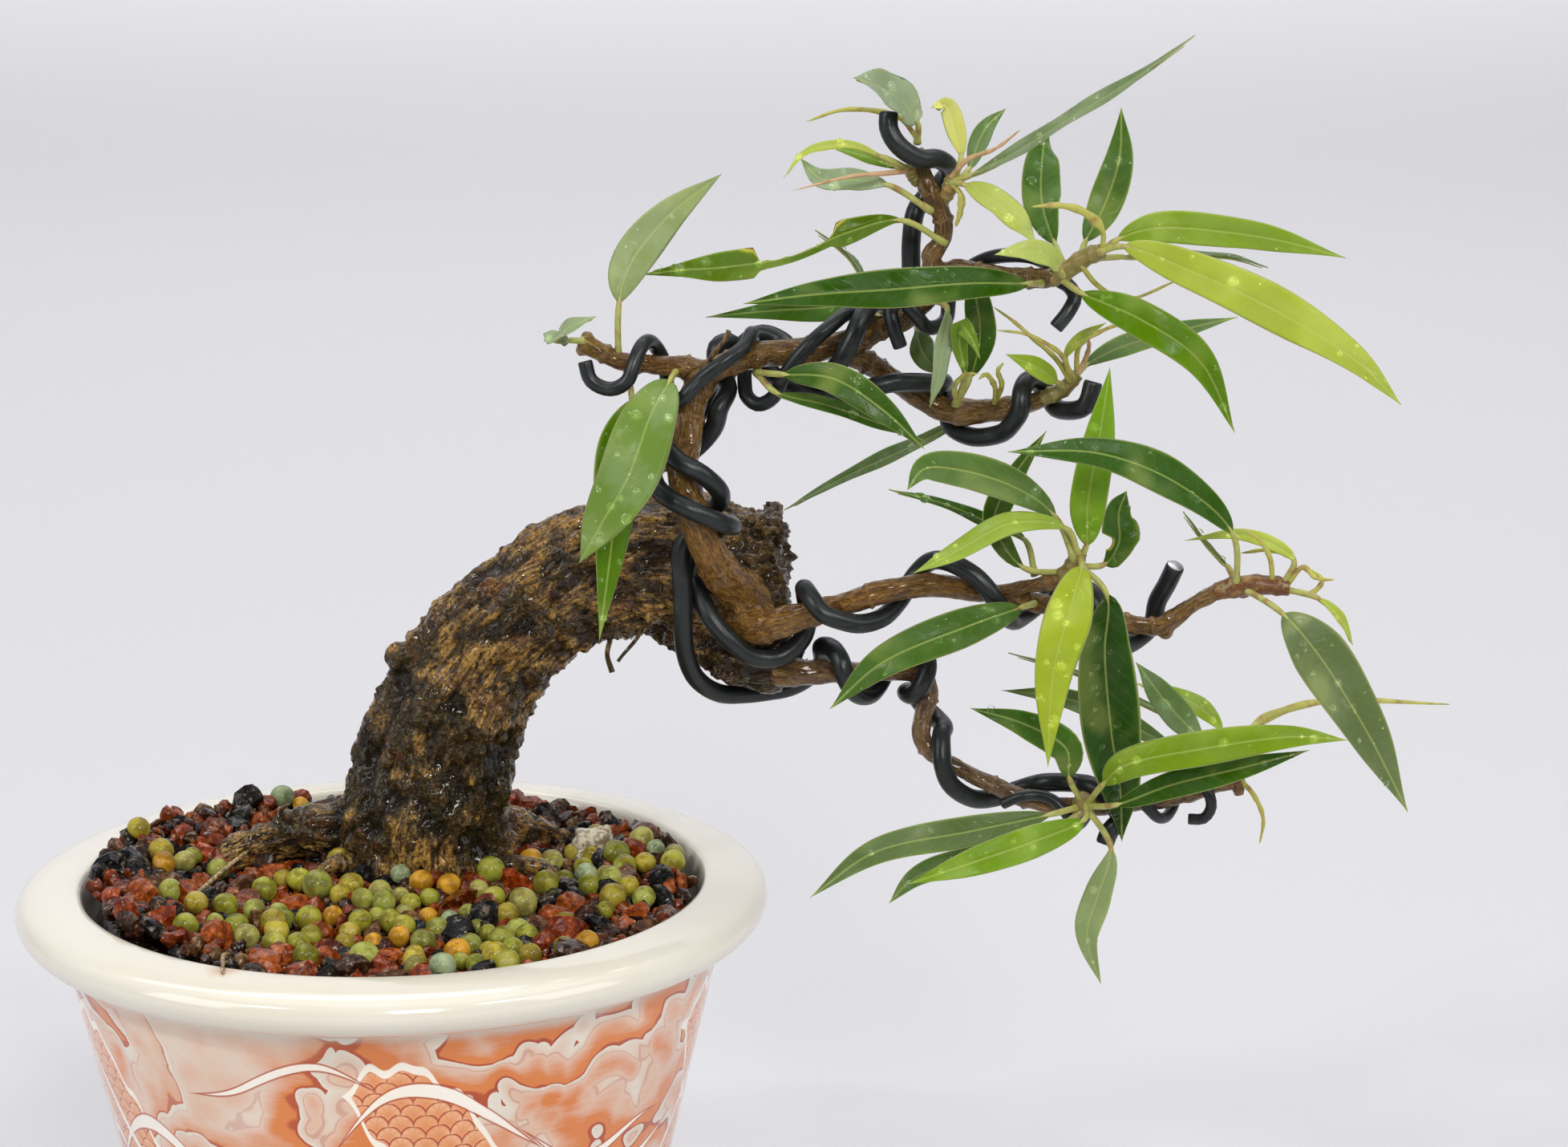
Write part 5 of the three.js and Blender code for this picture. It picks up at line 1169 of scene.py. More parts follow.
WIRES = {
    "long_lower_wire": (THICK_WIRE, [
        [(78.5, -6, 207.5), (78.5, -6.5, 205), (80, -7, 202.5), (83, -6.5, 200.5), (86, -4.4, 200.2),
         (88, -0.6, 198.2), (86.6, 2, 195.5), (84.5, 2.5, 193.5), (83, 1.8, 191.5), (82.3, 1, 187),
         (82.3, 1.2, 182), (82, 2, 178.5)],
        wound(RIGHT, [(5.5, 150), (4.9, 90), (3.9, 0), (3.3, -80)], THICK_WIRE),
        [(64, 1.5, 168.8), (62.5, 5, 170.5), (59, 6.5, 171.5), (56, 7, 169.5), (54, 5.6, 166.4),
         (53, 2.8, 163.6)],
        wound(LEADER, [(8.1, -145), (7.4, -195), (5.9, -275), (5, -360), (4, -450, 0.3),
            (3.2, -520, 0.5)], THICK_WIRE),
        [(46.8, -9.8, 140.4), (46.8, -10, 135.2), (46.9, -9.6, 130), (47.1, -7.8, 123.8),
         (48.8, -4.8, 118.5), (52.5, -1.6, 115.2), (56.4, -0.1, 114.7), (60, 0.4, 115), (63.6, 0.9, 115.6),
         (66.6, 0.6, 117.4), (68.6, -0.8, 120)],
        wound(LOWER, [
            (2.8, 115), (3.3, 0), (4.3, -90), (5.2, -180), (6, -270), (6.7, -360), (7.7, -450), (8.6, -540),
            (9.3, -625), (10.2, -655), (11.4, -720), (12.7, -810), (13.7, -900), (14.5, -962),
            (15.7, -968, 0.2), (16.3, -1035), (16.6, -1100)], THICK_WIRE),
        [(113.8, -10.8, 95.2), (113, -11.2, 93.2)],
    ]),
    "long_middle_wire": (THICK_WIRE, [
        [(110.5, -4.5, 165.8), (109.2, -4.8, 162)],
        wound(SIDE, [(8, 590), (7.5, 450), (7, 360), (6.2, 300), (5.2, 265), (4.4, 225), (4, 160),
            (3.6, 70)], THICK_WIRE),
        [(79.5, -4, 165.5), (75.5, -4.2, 164.6), (71, -3.2, 163.4), (67, -1.4, 163.2), (63.5, 1.2, 164.2),
         (60, 3.2, 166.2), (56.4, 3, 168.2), (54, 1.4, 171), (52.2, 0, 170.4), (52.2, -0.8, 167.4),
         (53.9, -3.2, 164.6)],
        wound(LEADER, [
            (8, -85), (7.2, -118), (6.4, -165), (5, -265), (3.7, -360), (2.6, -450, 0.1),
            (2, -515, 0.6)], THICK_WIRE),
        [(48.4, -6.8, 135.5), (49.8, -8.6, 132), (51.6, -10.2, 129), (54.4, -10.8, 125.9), (58, -10, 123.2),
         (62, -9, 123), (65.2, -8.2, 125.4), (66.3, -7.8, 128.4)],
        wound(MIDDLE, [
            (2.1, 135), (2.6, 10), (3.3, -55), (3.9, -95), (4.4, -140), (4.8, -190), (5.3, -270), (6, -312),
            (6.6, -360), (7.6, -450), (8.4, -540), (9.1, -630), (9.6, -720), (10.1, -805),
            (10.9, -890)], THICK_WIRE),
        [(121, -5.4, 131), (122.3, -6.4, 134), (123.5, -7.8, 137.4)],
    ]),
    "left_twig_wire": (MEDIUM_WIRE, [[
        (32, -7.5, 169.5), (33, -8, 166.5), (36, -8.5, 165.3), (38.5, -8.5, 166.5), (39.5, -8, 169),
        (40.5, -6.5, 171.3), (41.5, -4, 172), (42.5, -1.4, 171), (43.8, -0.4, 168.5), (44.4, -2, 165.7),
        (44, -6, 162.8), (46.8, -10.5, 164), (50.2, -10, 167.4), (53.5, -9.8, 169.8), (56.5, -8, 171.8),
        (57.6, -4.8, 173.4), (57.6, -1, 171.4), (56.6, -0.4, 168), (56.5, -2.8, 165.2), (56.9, -4.4, 163.4),
        (58.6, -5.6, 162.4), (60.8, -6.8, 163.6), (62.5, -8, 167), (64.5, -8.6, 170), (67, -8.2, 172.7),
        (69.8, -6.4, 174.8), (72, -3.7, 176.1), (73.8, -0.9, 175.8)]]),
    "right_twig_wire": (MEDIUM_WIRE, [
        [(80.5, -7.4, 171.6), (79.5, -7.3, 174.5), (79, -6.4, 177.2), (80.5, -6.6, 178.8),
         (82.5, -7.2, 177), (84.5, -6.4, 174.6), (87.6, -2.2, 175), (88.4, 1, 178.5), (90, 1, 181.5)],
        wound(RIGHT_TWIG, [(1.7, 150), (2.6, 105), (3.5, 95), (4.1, 150), (4.6, 200)], MEDIUM_WIRE),
        [(106, -7.2, 181.2), (107, -8.5, 179.6), (106, -9.5, 177.5), (104, -10, 175)],
    ]),
    "thin_lower_wire": (THIN_WIRE, [
        wound(LOWER, [
            (13.5, -35), (13.9, 15), (14.4, 38), (14.9, 34), (15.25, 0), (15.6, -75), (16.2, -180),
            (16.8, -270), (17.3, -360), (17.8, -450), (18.3, -540, 0.2), (18.6, -600, 0.4)], THIN_WIRE),
        [(129.2, -7.9, 101.2), (130, -8.3, 98.6), (128.9, -7.7, 96.4), (126.5, -7.3, 96.2)],
    ]),
}
for name, (radius, rows) in WIRES.items():
    piece = add_mesh("wound_" + name, round_wire(rows, radius), [anodised, nipped])
    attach(piece, "root")
    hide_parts(name)


# The leaves: narrow willow-shaped blades on short stalks, young rolled ones and dry pink bud scales.
# Each shoot grew from its twig, and the fresh rain on it stands in beads on the blades.

LEAF_SEED = 31
STALK_ROOTED = 0.8
STALK_RADIUS = 0.5
SLIM_KINDS = ("roll", "stipule")
BLADE_COLUMNS = 17
# Depth and half width of the midrib's groove above and ridge below.
GROOVE = (0.14, 0.28)
RIDGE = (0.26, 0.34)
# How far each leaf's marks are moved on, so that no two leaves share their mottling.
LEAF_SHIFT = 70.0
TUBE_SIDES = 10
ROLLED_STEPS = 34
GREEN_STEM_SIDES = 14
GREEN_STEM_STEPS = 36
DEEP_LEAF = (190, 200, 150)
LIGHT_LEAF = (214, 222, 130)
UNDERSIDE = (146, 166, 108)
RIB = (170, 186, 98)
LEAF_RIM = (196, 204, 128)
# Pale patches on the leaves: a waxy bloom, with the pale sheen of a wet leaf painted in.
BLOOM_AND_PAINTED_SHEEN = (176, 188, 168)
SCORCH_EDGE = (178, 168, 60)
SCORCH = (112, 72, 40)
STALK_BROWN = (152, 122, 70)
STALK_PALE = (206, 208, 132)
STALK_TONE = (168, 170, 92)
STEM_TONE = (128, 118, 62)
LEAF_TONES = {
    "mature": (58, 90, 24), "dull": (96, 120, 70), "pale": (140, 158, 118), "fresh": (106, 140, 38),
    "bright": (142, 164, 48), "young": (172, 184, 78), "roll": (178, 174, 82), "stipule": (192, 156, 118),
    "bitten": (98, 142, 40),
}
# Each shoot: its slot, its leaves as (kind, width, facing, bite, midrib points), and its own green stem.
# The first midrib point is the foot of the stalk, the second is where the blade starts, the last is the tip.
SHOOTS = {
    "apex_tip_leaves": ("leaf_grey_green", [
        ("pale", 7.6, (0.1, -0.8, 0.6), (), [(83, -2, 203), (83, -3, 205.5), (80.5, -6, 209),
            (77, -10, 211.5), (73, -15, 213.5)]),
        ("roll", 1.1, (0, -1, 0.2), (), [(83, -2, 203), (80.5, -1, 206), (77, 0, 207), (71.5, 2, 207),
            (66, 4, 205)]),
    ], None),
    "apex_side_leaves": ("leaf_grey_green", [
        ("young", 3.2, (0, -1, 0.2), (), [(88.6, -4.8, 197.2), (89.6, -5, 200.6), (88.8, -3, 204.5),
            (87.5, -1, 208), (85, -4, 208)]),
        ("dull", 3.1, (0, -1, 0.2), (), [(89, -4.2, 196.8), (91, -1.8, 198.4), (92.4, 1, 201.8),
            (94, 3, 204.5), (97, 5, 207)]),
        ("dull", 4.4, (-0.4, -0.45, 0.8), (), [(88.5, -5, 197), (91, -7, 198), (98.5, -11, 202.5),
            (105.5, -15, 207.5), (114, -20, 213.5), (122.5, -25, 220.5)]),
        ("young", 4.6, (0.3, -0.9, 0.4), (), [(88, -5, 196.6), (90, -7, 196.6), (94.5, -10, 194.5),
            (98, -13, 191.5), (100.5, -15, 188.5)]),
        ("stipule", 0.8, (0, -1, 0.2), (), [(88, -5, 197.4), (90.5, -8, 200.5), (94.5, -11, 202.5),
            (98, -13, 205.5)]),
        ("roll", 1.4, (0, -1, 0.2), (), [(88, -5, 196.6), (89.5, -6.5, 195), (89.5, -6.5, 192.5),
            (88.8, -6.2, 190)]),
    ], [(87.4, -3.4, 194.4, 1.1), (88, -4.2, 196, 1.2), (88.4, -4.6, 197.6, 1)]),
    "apex_left_leaves": ("leaf_young", [
        ("young", 1.6, (0, -0.8, 0.6), (), [(81.8, -4, 198.5), (77.5, -9, 201), (73, -11, 203),
            (68.5, -13, 203), (65.5, -14, 202), (62.5, -15, 198.5)]),
        ("fresh", 2.2, (0, -0.8, 0.6), (), [(81.8, -4, 198.5), (79.6, -4.4, 199), (75, -5, 200.6),
            (70, -5, 202)]),
        ("stipule", 0.8, (0, -1, 0.2), (), [(81.8, -4, 198.3), (77.5, -10, 198.6), (72.5, -14, 198.6),
            (64, -18, 197)]),
    ], [(82.2, -3.4, 197.6, 0.9), (81.6, -4.4, 198.9, 0.9)]),
    "apex_low_leaf": ("leaf_grey_green", [
        ("pale", 3.8, (0, -0.9, 0.5), (), [(84.6, -5, 192.6), (78.5, -7, 196.5), (73, -9, 197.5),
            (68, -11, 198), (65, -10, 201)]),
    ], None),
    "bitten_leaf": ("leaf_fresh", [
        ("bitten", 5.6, (0, -0.8, 0.6), (1, 0.24, 0.5, 1.0), [(86.8, -4.2, 187.5), (80.5, -6, 191),
            (72.5, -5, 189), (63.5, -3, 185), (53, -1, 183), (47, 0, 182.5), (40.5, 2, 181.5)]),
    ], None),
    "thin_back_leaf": ("leaf_grey_green", [
        ("dull", 3.2, (0.6, 0, 0.8), (), [(77.6, -0.5, 173), (77, 4.8, 175.8), (73.4, 8, 183),
            (67.5, 10, 187.5)]),
    ], None),
    "upper_right_leaves": ("leaf_fresh", [
        ("mature", 6.2, (0, -0.95, -0.3), (), [(105.5, -9.5, 184), (104, -6, 187.4), (102.5, 2, 193),
            (103, 10, 199), (104.5, 19, 203.5)]),
        ("mature", 5.4, (-0.2, -1, -0.1), (), [(107.5, -10.5, 185.5), (108.5, -8, 188), (111.5, -5, 193),
            (114, -2, 200), (114.5, 2, 207.5)]),
        ("roll", 1.6, (0, -1, 0.2), (), [(110.5, -13, 186.5), (110.5, -14.6, 190.5), (107.5, -16, 193.5),
            (104, -17, 194.6), (99.5, -18.4, 194.6)]),
        ("fresh", 5.4, (0, -0.9, 0.45), (), [(110.5, -13, 187), (113, -13, 189), (118.5, -12, 190.5),
            (130, -9, 189.5), (139.5, -5, 187.5), (149.5, -1, 184.5)]),
        ("bright", 7.2, (0.2, -0.9, 0.4), (), [(110.5, -14, 187.2), (113.5, -16.5, 188.4),
            (122.5, -21, 185.6), (135.5, -26, 180), (146.5, -30, 173.5), (153.5, -32, 167)]),
        ("dull", 3.2, (0.1, -0.1, 1), (), [(110, -12, 186), (114, -9, 185.8), (123, -4, 185.6),
            (132, 0, 184.6), (138, 3, 182.5)]),
        ("mature", 5.9, (0.2, -0.95, 0.2), (), [(104.8, -10.6, 182.6), (107.5, -14, 181),
            (116, -17.5, 177.6), (125, -19, 171.5), (131, -17, 160)]),
        ("roll", 0.9, (0, -1, 0.2), (), [(107.5, -12, 185), (110.4, -10, 181.5), (115, -7, 179),
            (124, -2, 181.5)]),
        ("young", 3.9, (0, -0.9, 0.5), (), [(105, -11, 183), (104.2, -14, 184.5), (102.4, -17, 187),
            (98.5, -18.6, 188), (94, -19.6, 187.6)]),
    ], [(104.6, -10, 183.2, 1.4), (108, -11.2, 185.8, 1.4), (110.6, -13, 187.2, 1.2)]),
    "crown_front_leaf": ("leaf_dark", [
        ("mature", 6.3, (0, -0.85, 0.5), (), [(101.4, -11, 182), (99.5, -14, 182.4), (90.5, -18, 183),
            (78.5, -21, 182.5), (66.5, -23, 182), (56.5, -25, 181)]),
    ], None),
    "crown_back_leaf": ("leaf_dark", [
        ("mature", 5.2, (0, -0.85, 0.5), (), [(86.4, -1, 180.4), (85, 5.2, 180), (78, 7.6, 177.4),
            (71, 9, 175.5), (61, 11, 174.5), (50, 14, 173)]),
    ], None),
    "crown_inner_leaf": ("leaf_grey_green", [
        ("dull", 4.4, (0.4, -0.9, 0), (), [(83.5, -1.2, 174.5), (83.4, 3.6, 172.6), (84.5, 6, 168.5),
            (87.5, 9, 164.5)]),
    ], None),
    "crown_twisted_leaf": ("leaf_grey_green", [
        ("pale", 3.2, (0.5, -0.85, 0.1), (), [(86, -5, 178.4), (87.6, -8.6, 177.6), (86.8, -10, 172.5),
            (86.2, -10, 167.5), (85, -9, 162.5)]),
    ], None),
    "side_stalk_leaves": ("leaf_dark", [
        ("mature", 5.2, (0.3, -0.9, 0), (), [(89.6, -1.8, 162.2), (91.5, -2, 166), (92.8, -4, 172.5),
            (92, -7, 179), (90.6, -9.6, 184.6)]),
        ("fresh", 3, (0.2, -0.95, 0), (), [(89.4, -2, 162.2), (90.5, -6, 167), (89.4, -10, 172.5),
            (89.6, -11, 175.5), (91, -12, 174), (92.5, -12, 170.5)]),
        ("roll", 0.9, (0, -1, 0.2), (), [(89.4, -2, 162.2), (89, -6, 165.5), (90.5, -8, 167.5),
            (92.4, -9, 167.8)]),
    ], None),
    "side_curls": ("leaf_young", [
        ("roll", 1, (0, -1, 0.2), (), [(95.4, -1.6, 161.8), (95.2, -4, 165), (93.8, -5, 167),
            (92.6, -6, 166.4)]),
        ("roll", 1, (0, -1, 0.2), (), [(95.4, -1.4, 161.8), (96.4, -2.6, 165), (95.8, -2, 167),
            (96.8, 0, 168)]),
    ], None),
    "crown_left_leaves": ("leaf_dark", [
        ("mature", 4.9, (-0.2, -0.9, 0.4), (), [(58.7, -6.8, 167.6), (62.5, -11, 168), (70, -14.5, 168),
            (77.5, -16, 163.5), (84, -17, 157.5)]),
        ("mature", 3.4, (0, -0.6, 0.8), (), [(58.7, -6.6, 167.2), (61.4, -9.8, 165), (69, -9.6, 163),
            (77, -8.4, 160), (84.4, -6, 156.8)]),
    ], None),
    "side_shoot_leaves": ("leaf_young", [
        ("bright", 3.3, (0, -0.9, 0.4), (), [(106, -3, 164.4), (104.8, -5, 165.8), (101.5, -8, 168.5),
            (96.5, -10, 171)]),
        ("young", 1.7, (0, -1, 0.2), (), [(107.5, -3, 166), (106, -5, 169.5), (108, -7, 173),
            (112, -7.6, 175.5)]),
        ("roll", 1, (0, -1, 0.2), (), [(108, -2, 166), (108.4, -2, 171), (112, 0, 173), (118.5, 4, 174.5)]),
        ("dull", 3.8, (0, -0.8, 0.6), (), [(107.4, -2, 165.4), (109.5, 0, 167.5), (115.5, 3, 170),
            (125, 7, 172), (134.5, 11, 173.5)]),
        ("roll", 0.9, (0, -1, 0.2), (), [(107, -3.4, 165.5), (104.5, -5, 169.5), (101, -4, 172.5),
            (98, -3, 175), (95, -1.6, 177)]),
        ("roll", 0.9, (0, -1, 0.2), (), [(107, -3.4, 166), (105.5, -7, 170), (103.5, -9, 172),
            (99.5, -9.4, 174), (95, -9.6, 174.6)]),
        ("stipule", 0.9, (0, -1, 0.2), (), [(108, -2.4, 166.5), (109.4, -1.6, 168.9), (110, -0.6, 171),
            (109.5, 0, 172.5)]),
    ], [(104, -2.1, 163.2, 1.3), (106.4, -2.4, 164.6, 1.2), (108.2, -2.4, 166.6, 1)]),
    "long_back_leaf": ("leaf_grey_green", [
        ("dull", 3.6, (-0.2, -0.65, 0.8), (), [(93.8, 2.6, 159.6), (91.6, 6.8, 158), (84.5, 10.4, 153.5),
            (78, 15, 149.5), (70.5, 19, 145), (62.5, 24, 139.5)]),
    ], None),
    "left_front_leaf": ("leaf_grey_green", [
        ("dull", 9.4, (-0.1, -1, 0.1), (), [(45.8, -6, 167.4), (45.2, -10, 167), (42.3, -17, 162.5),
            (39.3, -21, 154.5), (35, -22, 147), (31.5, -20, 140.5)]),
    ], None),
    "left_hanging_leaf": ("leaf_dark", [
        ("mature", 7, (0, -1, 0.05), (), [(38.4, -4, 167), (39, -5, 163), (37.2, -8.6, 156),
            (36.3, -12, 144), (34, -13, 126.5)]),
    ], None),
    "left_upright_leaf": ("leaf_grey_green", [
        ("pale", 6.4, (-0.2, -0.95, -0.1), (), [(37, -4, 169.4), (37.2, -4, 178), (38.8, -2, 183.5),
            (44.5, 2, 190.5), (53, 9, 196.5)]),
    ], None),
    "left_tip_curl": ("leaf_grey_green", [
        ("pale", 4.4, (0.1, -0.6, 0.8), (), [(31, -5.8, 172.4), (29.6, -6.6, 172.6), (27.6, -8, 173),
            (29.6, -10, 175), (34, -11, 177)]),
    ], None),
    "middle_shoot_leaves": ("leaf_fresh", [
        ("bright", 5.8, (0, -1, -0.1), (), [(108, -14, 140), (109, -14.4, 142), (109, -15, 148.5),
            (110.5, -16.4, 159.5), (112, -15.4, 170)]),
        ("dull", 4.6, (0.4, -0.9, 0.1), (), [(105.8, -13.2, 137.6), (99.5, -12, 138), (95, -11, 145),
            (98, -10, 152), (103, -9.4, 159)]),
        ("dull", 5.8, (0.1, -0.9, 0.4), (), [(107, -15, 140), (104, -17, 147), (98, -20, 152),
            (89, -23, 155.5), (83.5, -25, 156), (81, -26, 153)]),
        ("bright", 3.7, (0, -0.9, 0.5), (), [(107.5, -15, 141), (105.5, -18, 145.5), (97, -21.5, 147),
            (88.5, -23.5, 143), (82, -25, 140)]),
        ("mature", 6.3, (0.3, -0.95, 0), (-1, 0.15, 0.35, 0.5), [(108.2, -14, 138.8), (112, -12, 138.5),
            (114.5, -9, 141.5), (114.5, -7, 145.5), (116, -4, 148.5)]),
        ("young", 7.4, (0.1, -1, 0.1), (), [(108, -15.4, 140), (108, -18, 139.5), (106, -21.5, 133.5),
            (103.5, -23.5, 124), (103, -23, 109)]),
        ("mature", 9.4, (0.1, -1, 0.1), (), [(108.2, -15, 138.8), (112, -17, 135), (111.8, -18, 126),
            (113.2, -16.4, 113), (115, -14, 103), (115.6, -12.6, 94)]),
    ], [(105.6, -13.1, 137, 1.2), (107.2, -14, 139, 1.4), (108, -14.4, 141, 1.2)]),
    "middle_back_leaf": ("leaf_dark", [
        ("mature", 3, (0.1, -0.5, 0.85), (), [(101.2, -10.8, 137.2), (100, -8, 141.5), (95, -6, 143.5),
            (88, -3, 146), (79, 2, 147.5)]),
    ], None),
    "middle_leaf": ("leaf_dark", [
        ("mature", 6.2, (-0.1, -0.9, 0.4), (), [(101, -12, 132.2), (99, -16, 132.6), (90, -21, 130.6),
            (77.5, -23, 125.6), (69.5, -22, 118)]),
    ], None),
    "middle_tip_leaves": ("leaf_dark", [
        ("mature", 6.4, (0.1, -0.85, 0.5), (), [(132.5, -12, 135.2), (131, -17, 144.5), (122, -21, 153),
            (110, -23, 158), (96, -24, 158.5)]),
        ("dull", 2.6, (0.8, 0, 0.5), (), [(132.5, -11, 135), (131.5, -8, 137.4), (128.5, -6, 140.6),
            (125, -3, 145)]),
        ("dull", 8.9, (0.3, -0.95, 0.1), (), [(134, -12.6, 134.6), (139, -17.6, 132), (144, -19.6, 126.5),
            (151.5, -21, 115), (159, -20, 101)]),
        ("young", 2.2, (0, -1, 0.2), (), [(139.5, -12.6, 135.6), (141, -14, 139.5), (138, -14, 142),
            (132.5, -12.6, 143.4), (124.5, -9, 141.6)]),
        ("roll", 1.1, (0, -1, 0.2), (), [(139.6, -12.4, 135.6), (141.4, -11, 139), (138, -9.6, 140.2),
            (133.5, -8, 139.4)]),
        ("roll", 0.9, (0, -1, 0.2), (), [(138, -12.4, 135.6), (137.2, -14.6, 140), (135.5, -16.4, 143),
            (132.6, -18.6, 145.5)]),
        ("roll", 1, (0, -1, 0.2), (), [(140.2, -12.8, 135.4), (142.4, -14, 138.5), (144.4, -15, 137),
            (147, -16, 137)]),
        ("roll", 1, (0, -1, 0.2), (), [(140.2, -12.4, 134.8), (144, -11, 133.6), (146, -10, 135.5),
            (143.5, -9, 137.5)]),
        ("young", 1.8, (0.4, -0.8, 0.4), (), [(140.2, -12.6, 134.6), (145, -13.6, 133.5),
            (148.4, -14, 130.5), (150.6, -13.4, 126)]),
    ], [(130.6, -11.1, 134.2, 1.5), (134, -11.8, 135.2, 1.6), (137.6, -12.3, 135.2, 1.5),
        (140.6, -12.6, 135, 1.3)]),
    "lower_tip_leaves": ("leaf_grey_green", [
        ("dull", 5, (0.3, -0.9, 0.2), (), [(133.8, -5, 104.5), (128.5, -7, 109), (122.5, -9, 115.6),
            (117.4, -10, 122.5)]),
        ("bright", 3.6, (0.3, -0.7, 0.6), (), [(134, -4.4, 104.5), (132, -3, 109.5), (127.5, -1, 113.5),
            (118.5, 2, 116)]),
        ("roll", 1.7, (0, -1, 0.2), (), [(134.2, -4, 104.5), (137, 0, 109), (143, 4, 111), (151, 8, 111.5),
            (171.5, 15, 109)]),
        ("dull", 3.9, (0, -0.9, 0.4), (), [(133.8, -4.4, 104), (124.5, -1.6, 106.5), (116.5, 1, 110),
            (107.5, 4, 113), (97.5, 7, 113.5)]),
        ("dull", 2.2, (0, -0.2, 1), (), [(134, -3.6, 104), (127, 4, 108.5), (119.5, 8, 111.6),
            (109.5, 11, 115.5), (99, 14, 118)]),
        ("roll", 0.9, (0, -1, 0.2), (), [(134.6, -4.6, 102.2), (137, -5.6, 99.6), (138.5, -6.4, 96),
            (138, -7, 92)]),
    ], [(134.6, -4.2, 101.3, 1.1), (134.4, -4.3, 103, 1.1), (134, -4.4, 105, 1.1)]),
    "lower_shoot_leaves": ("leaf_fresh", [
        ("fresh", 5.6, (0, -0.85, 0.5), (), [(110.3, -12.6, 100.5), (112, -18, 105), (115, -21.5, 109),
            (127, -24, 112.4), (140, -25, 114.5), (148.5, -25, 114)]),
        ("mature", 4.4, (0, -0.95, 0.2), (), [(110.4, -13, 100), (114, -19, 102), (122, -22, 106),
            (132.5, -23.6, 109.2), (143, -23.4, 112)]),
        ("mature", 5, (0, -0.85, 0.5), (), [(109.2, -12, 99.7), (104, -16, 99.5), (91.5, -20, 98),
            (76.5, -23, 95.5), (66.5, -24, 88.5)]),
        ("bright", 5.2, (0, -0.9, 0.4), (), [(109.8, -13, 100), (109, -18.4, 99.3), (101, -24, 97.6),
            (91, -27, 95), (81.5, -28, 92)]),
        ("dull", 3.9, (0, -0.8, 0.6), (), [(109.4, -12.4, 99.2), (103, -15, 95.4), (91, -17, 92.6),
            (83, -17, 89.5), (79, -16, 85)]),
        ("pale", 4.6, (-0.3, -0.95, 0), (), [(110.2, -12.8, 99.2), (113.6, -16, 94), (111.6, -17.6, 87),
            (110, -17.6, 80.5), (112.5, -15.6, 71.5)]),
        ("mature", 5.2, (-0.1, -0.95, 0.3), (), [(109.5, -12.4, 100.2), (107, -15, 105),
            (106.2, -17, 110.5), (100, -16, 114), (91.5, -12, 115.6)]),
    ], [(109.6, -9.5, 99.5, 1.5), (109.7, -11.4, 99.9, 1.7), (110, -13.2, 100.2, 1.3)]),
}
STEM_TONES = {"middle_tip_leaves": (104, 64, 32), "lower_tip_leaves": (108, 72, 40)}
# Tints of single leaves, set to the tone each leaf shows: its own colour, with painted light on the brighter,
# backlit leaves and painted shade on the darker ones.
LEAF_TONES_WITH_PAINTED_LIGHT = {
    ("left_front_leaf", 0): (106, 132, 56), ("crown_front_leaf", 0): (42, 76, 2),
    ("left_upright_leaf", 0): (132, 150, 98), ("left_hanging_leaf", 0): (80, 116, 14),
    ("crown_back_leaf", 0): (64, 98, 26), ("apex_tip_leaves", 0): (134, 154, 118),
    ("upper_right_leaves", 4): (154, 168, 60), ("upper_right_leaves", 3): (120, 146, 40),
    ("upper_right_leaves", 6): (88, 124, 6), ("upper_right_leaves", 0): (66, 100, 34),
    ("upper_right_leaves", 1): (70, 96, 36), ("middle_shoot_leaves", 5): (158, 170, 44),
    ("middle_shoot_leaves", 0): (112, 148, 30), ("middle_shoot_leaves", 6): (36, 66, 10),
    ("middle_shoot_leaves", 1): (62, 88, 28), ("middle_shoot_leaves", 2): (84, 112, 54),
    ("middle_shoot_leaves", 3): (140, 164, 60), ("middle_tip_leaves", 2): (96, 112, 72),
    ("middle_tip_leaves", 0): (52, 86, 22), ("middle_leaf", 0): (66, 96, 34),
    ("lower_shoot_leaves", 0): (110, 136, 26), ("lower_shoot_leaves", 1): (44, 76, 4),
    ("lower_shoot_leaves", 3): (112, 142, 34), ("lower_shoot_leaves", 2): (90, 108, 62),
    ("lower_shoot_leaves", 5): (134, 150, 104), ("apex_side_leaves", 0): (190, 192, 96),
    ("apex_side_leaves", 2): (112, 128, 88), ("bitten_leaf", 0): (80, 106, 14),
    ("apex_side_leaves", 3): (168, 178, 84), ("upper_right_leaves", 8): (172, 186, 100)}


def half_width(share, width, kind):
    """Half the blade's width: W/2 * sin(pi*s^0.82)^0.8, drawn finer to the tip; slim kinds taper straight."""
    if kind in SLIM_KINDS:
        return 0.5 * width * (1 - 0.6 * share)
    fullness = np.maximum(np.sin(np.pi * np.clip(share, 0, 1) ** 0.82), 0)
    return np.maximum(0.5 * width * fullness ** (0.8 + 0.3 * share ** 3), 0.22 * (1 - share) + 0.02)


